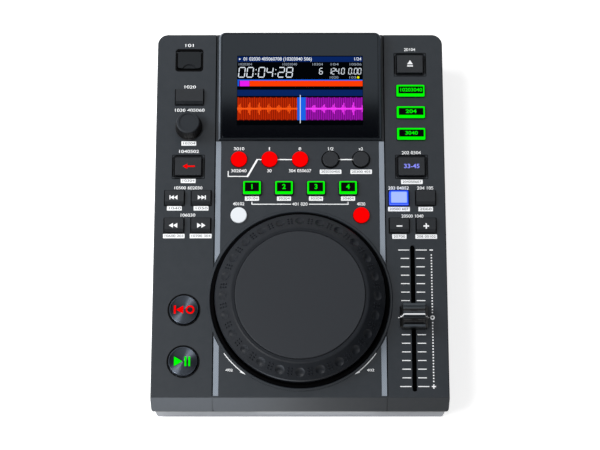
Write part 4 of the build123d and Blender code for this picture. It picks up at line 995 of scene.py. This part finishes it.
class PLAYER_OT_stage(bpy.types.Operator):
    """Sets the floor, the white room, the flags, the cards, the lamps and the camera"""

    bl_idname = "player.stage"
    bl_label = "Build the stage"

    def execute(self, context):
        scene = context.scene
        scene.view_settings.view_transform = "Standard"
        self.floor(scene)
        self.sky(scene)
        up = Matrix.Rotation(pi / 2, 4, "X")
        side = Matrix.Rotation(pi / 2, 4, "Y")
        self.flag(scene, "flag_overhead", (1.1, 0.51), Matrix.Translation((0, 0.007, 1.0)))
        self.flag(scene, "flag_right", (1.2, 2.4), Matrix.Translation((0.9, 0, 0.65)) @ side)
        self.flag(scene, "flag_front", (2.0, 0.8), Matrix.Translation((0, -1.1, 0.85)) @ up)
        white = (1, 1, 1, 1)
        self.card(scene, "card_left", (-0.22, -0.4, 0.003), 0.4, (0.92, 1.0, 1.12, 1), 4.5)
        self.card(scene, "card_right", (0.24, -0.4, 0.003), 0.48, white, 0.6)
        self.card(scene, "card_front", (0.012, -0.196, 0.003), 0.09, white, 2.1)
        self.lamp(scene, "left_softbox", (-1.05, 0.35, 0.85), 0.6, 16, False)
        self.lamp(scene, "key_lamp", (-0.55, -0.33, 1.24), 0.3, 6.1, True)
        self.camera(scene)
        return {"FINISHED"}

    def flat(self, scene, name, size, place, material):
        """A flat piece of the set, which is no part of the object."""
        bm = bmesh.new()
        bmesh.ops.create_grid(bm, x_segments=1, y_segments=1, size=0.5,
                              matrix=place @ Matrix.Diagonal((size[0], size[1], 1, 1)))
        mesh = bpy.data.meshes.new(name)
        bm.to_mesh(mesh)
        bm.free()
        made = bpy.data.objects.new(name, mesh)
        scene.collection.objects.link(made)
        mesh.materials.append(material)
        return made

    def floor(self, scene):
        # White paper sweep that keeps a soft shadow.
        material, tree, shader = coat("white_paper_sweep", "#e8e8e8", 0.9, Specular_IOR_Level=0.0)
        glow = add(tree, "ShaderNodeMath", {"operation": "MULTIPLY", 1: 0.7}, {0: seen_rays(tree)})
        shader.inputs["Emission Color"].default_value = (1, 1, 1, 1)
        tree.links.new(glow.outputs[0], shader.inputs["Emission Strength"])
        self.flat(scene, "floor", (8, 8), Matrix.Identity(4), material)

    def mirrored(self, scene, name, size, place, material):
        """A flat piece that shows in glossy surfaces alone."""
        made = self.flat(scene, name, size, place, material)
        for rays in ("camera", "diffuse", "shadow", "transmission"):
            setattr(made, "visible_" + rays, False)

    def card(self, scene, name, place, size, colour, strength):
        # Reflector card on the table before the player.
        material, _, shader = coat(name + "_paper", "#000000", 1.0, Specular_IOR_Level=0.0)
        shader.inputs["Emission Color"].default_value = colour
        shader.inputs["Emission Strength"].default_value = strength
        self.mirrored(scene, name, (size, size), Matrix.Translation(place), material)

    def flag(self, scene, name, size, place):
        # Black cloth round the set.
        material, _, _ = coat(name + "_cloth", "#000000", 1.0, Specular_IOR_Level=0.0)
        self.mirrored(scene, name, size, place, material)

    def sky(self, scene):
        """A white room, dimmer where it lights matt surfaces."""
        world = bpy.data.worlds.new("studio_white")
        scene.world = world
        world.use_nodes = True
        tree = world.node_tree
        shade = tree.nodes["Background"]
        shade.inputs["Color"].default_value = (1, 1, 1, 1)
        level = add(tree, "ShaderNodeMapRange", {"To Min": 0.3, "To Max": 1.0},
                    {"Value": seen_rays(tree)})
        tree.links.new(level.outputs["Result"], shade.inputs["Strength"])

    def lamp(self, scene, name, place, size, power, mirrored):
        """A square lamp that faces the player, mirrored in it or not."""
        light = bpy.data.lights.new(name, "AREA")
        light.shape, light.size, light.energy = "SQUARE", size, power
        made = bpy.data.objects.new(name, light)
        way = -Vector(place)
        made.matrix_world = Matrix.Translation(place) @ way.to_track_quat("-Z", "Y").to_matrix().to_4x4()
        made.visible_camera, made.visible_glossy = False, mirrored
        scene.collection.objects.link(made)

    def camera(self, scene):
        """The long lens above the front edge."""
        data = bpy.data.cameras.new("camera")
        data.lens, data.sensor_width, data.sensor_fit = 104.1, 36.0, "HORIZONTAL"
        data.clip_start, data.clip_end = 0.05, 20.0
        made = bpy.data.objects.new("camera", data)
        made.matrix_world = (Matrix.Translation((0.0, -0.3364, 1.2977))
                             @ Matrix.Rotation(radians(14.754), 4, "X"))
        scene.collection.objects.link(made)
        scene.camera = made


class PLAYER_PT_panel(bpy.types.Panel):
    """Lists the steps in the 3D view's sidebar"""

    bl_idname = "PLAYER_PT_panel"
    bl_label = "Media player"
    bl_space_type = "VIEW_3D"
    bl_region_type = "UI"
    bl_category = "Player"

    def draw(self, context):
        for group in (context.scene.player_finish, context.scene.player_print):
            for name in group.__annotations__:
                self.layout.prop(group, name)
        for step in STEPS:
            self.layout.operator(step.bl_idname)


STEPS = (PLAYER_OT_finishes, PLAYER_OT_panel_print, PLAYER_OT_screen, PLAYER_OT_key_surrounds,
         PLAYER_OT_key_signs, PLAYER_OT_jog_studs, PLAYER_OT_fader_line, PLAYER_OT_stage)
CLASSES = (PlayerFinish, PlayerPrint) + STEPS + (PLAYER_PT_panel,)


def register():
    for cls in CLASSES:
        bpy.utils.register_class(cls)
    bpy.types.Scene.player_finish = bpy.props.PointerProperty(type=PlayerFinish)
    bpy.types.Scene.player_print = bpy.props.PointerProperty(type=PlayerPrint)


def unregister():
    del bpy.types.Scene.player_print
    del bpy.types.Scene.player_finish
    for cls in reversed(CLASSES):
        bpy.utils.unregister_class(cls)


def main():
    register()
    bpy.ops.player.finishes()
    bpy.ops.player.panel_print()
    bpy.ops.player.screen()
    bpy.ops.player.key_surrounds()
    bpy.ops.player.key_signs()
    bpy.ops.player.jog_studs()
    bpy.ops.player.fader_line()
    bpy.ops.player.stage()


if __name__ == "__main__":
    main()
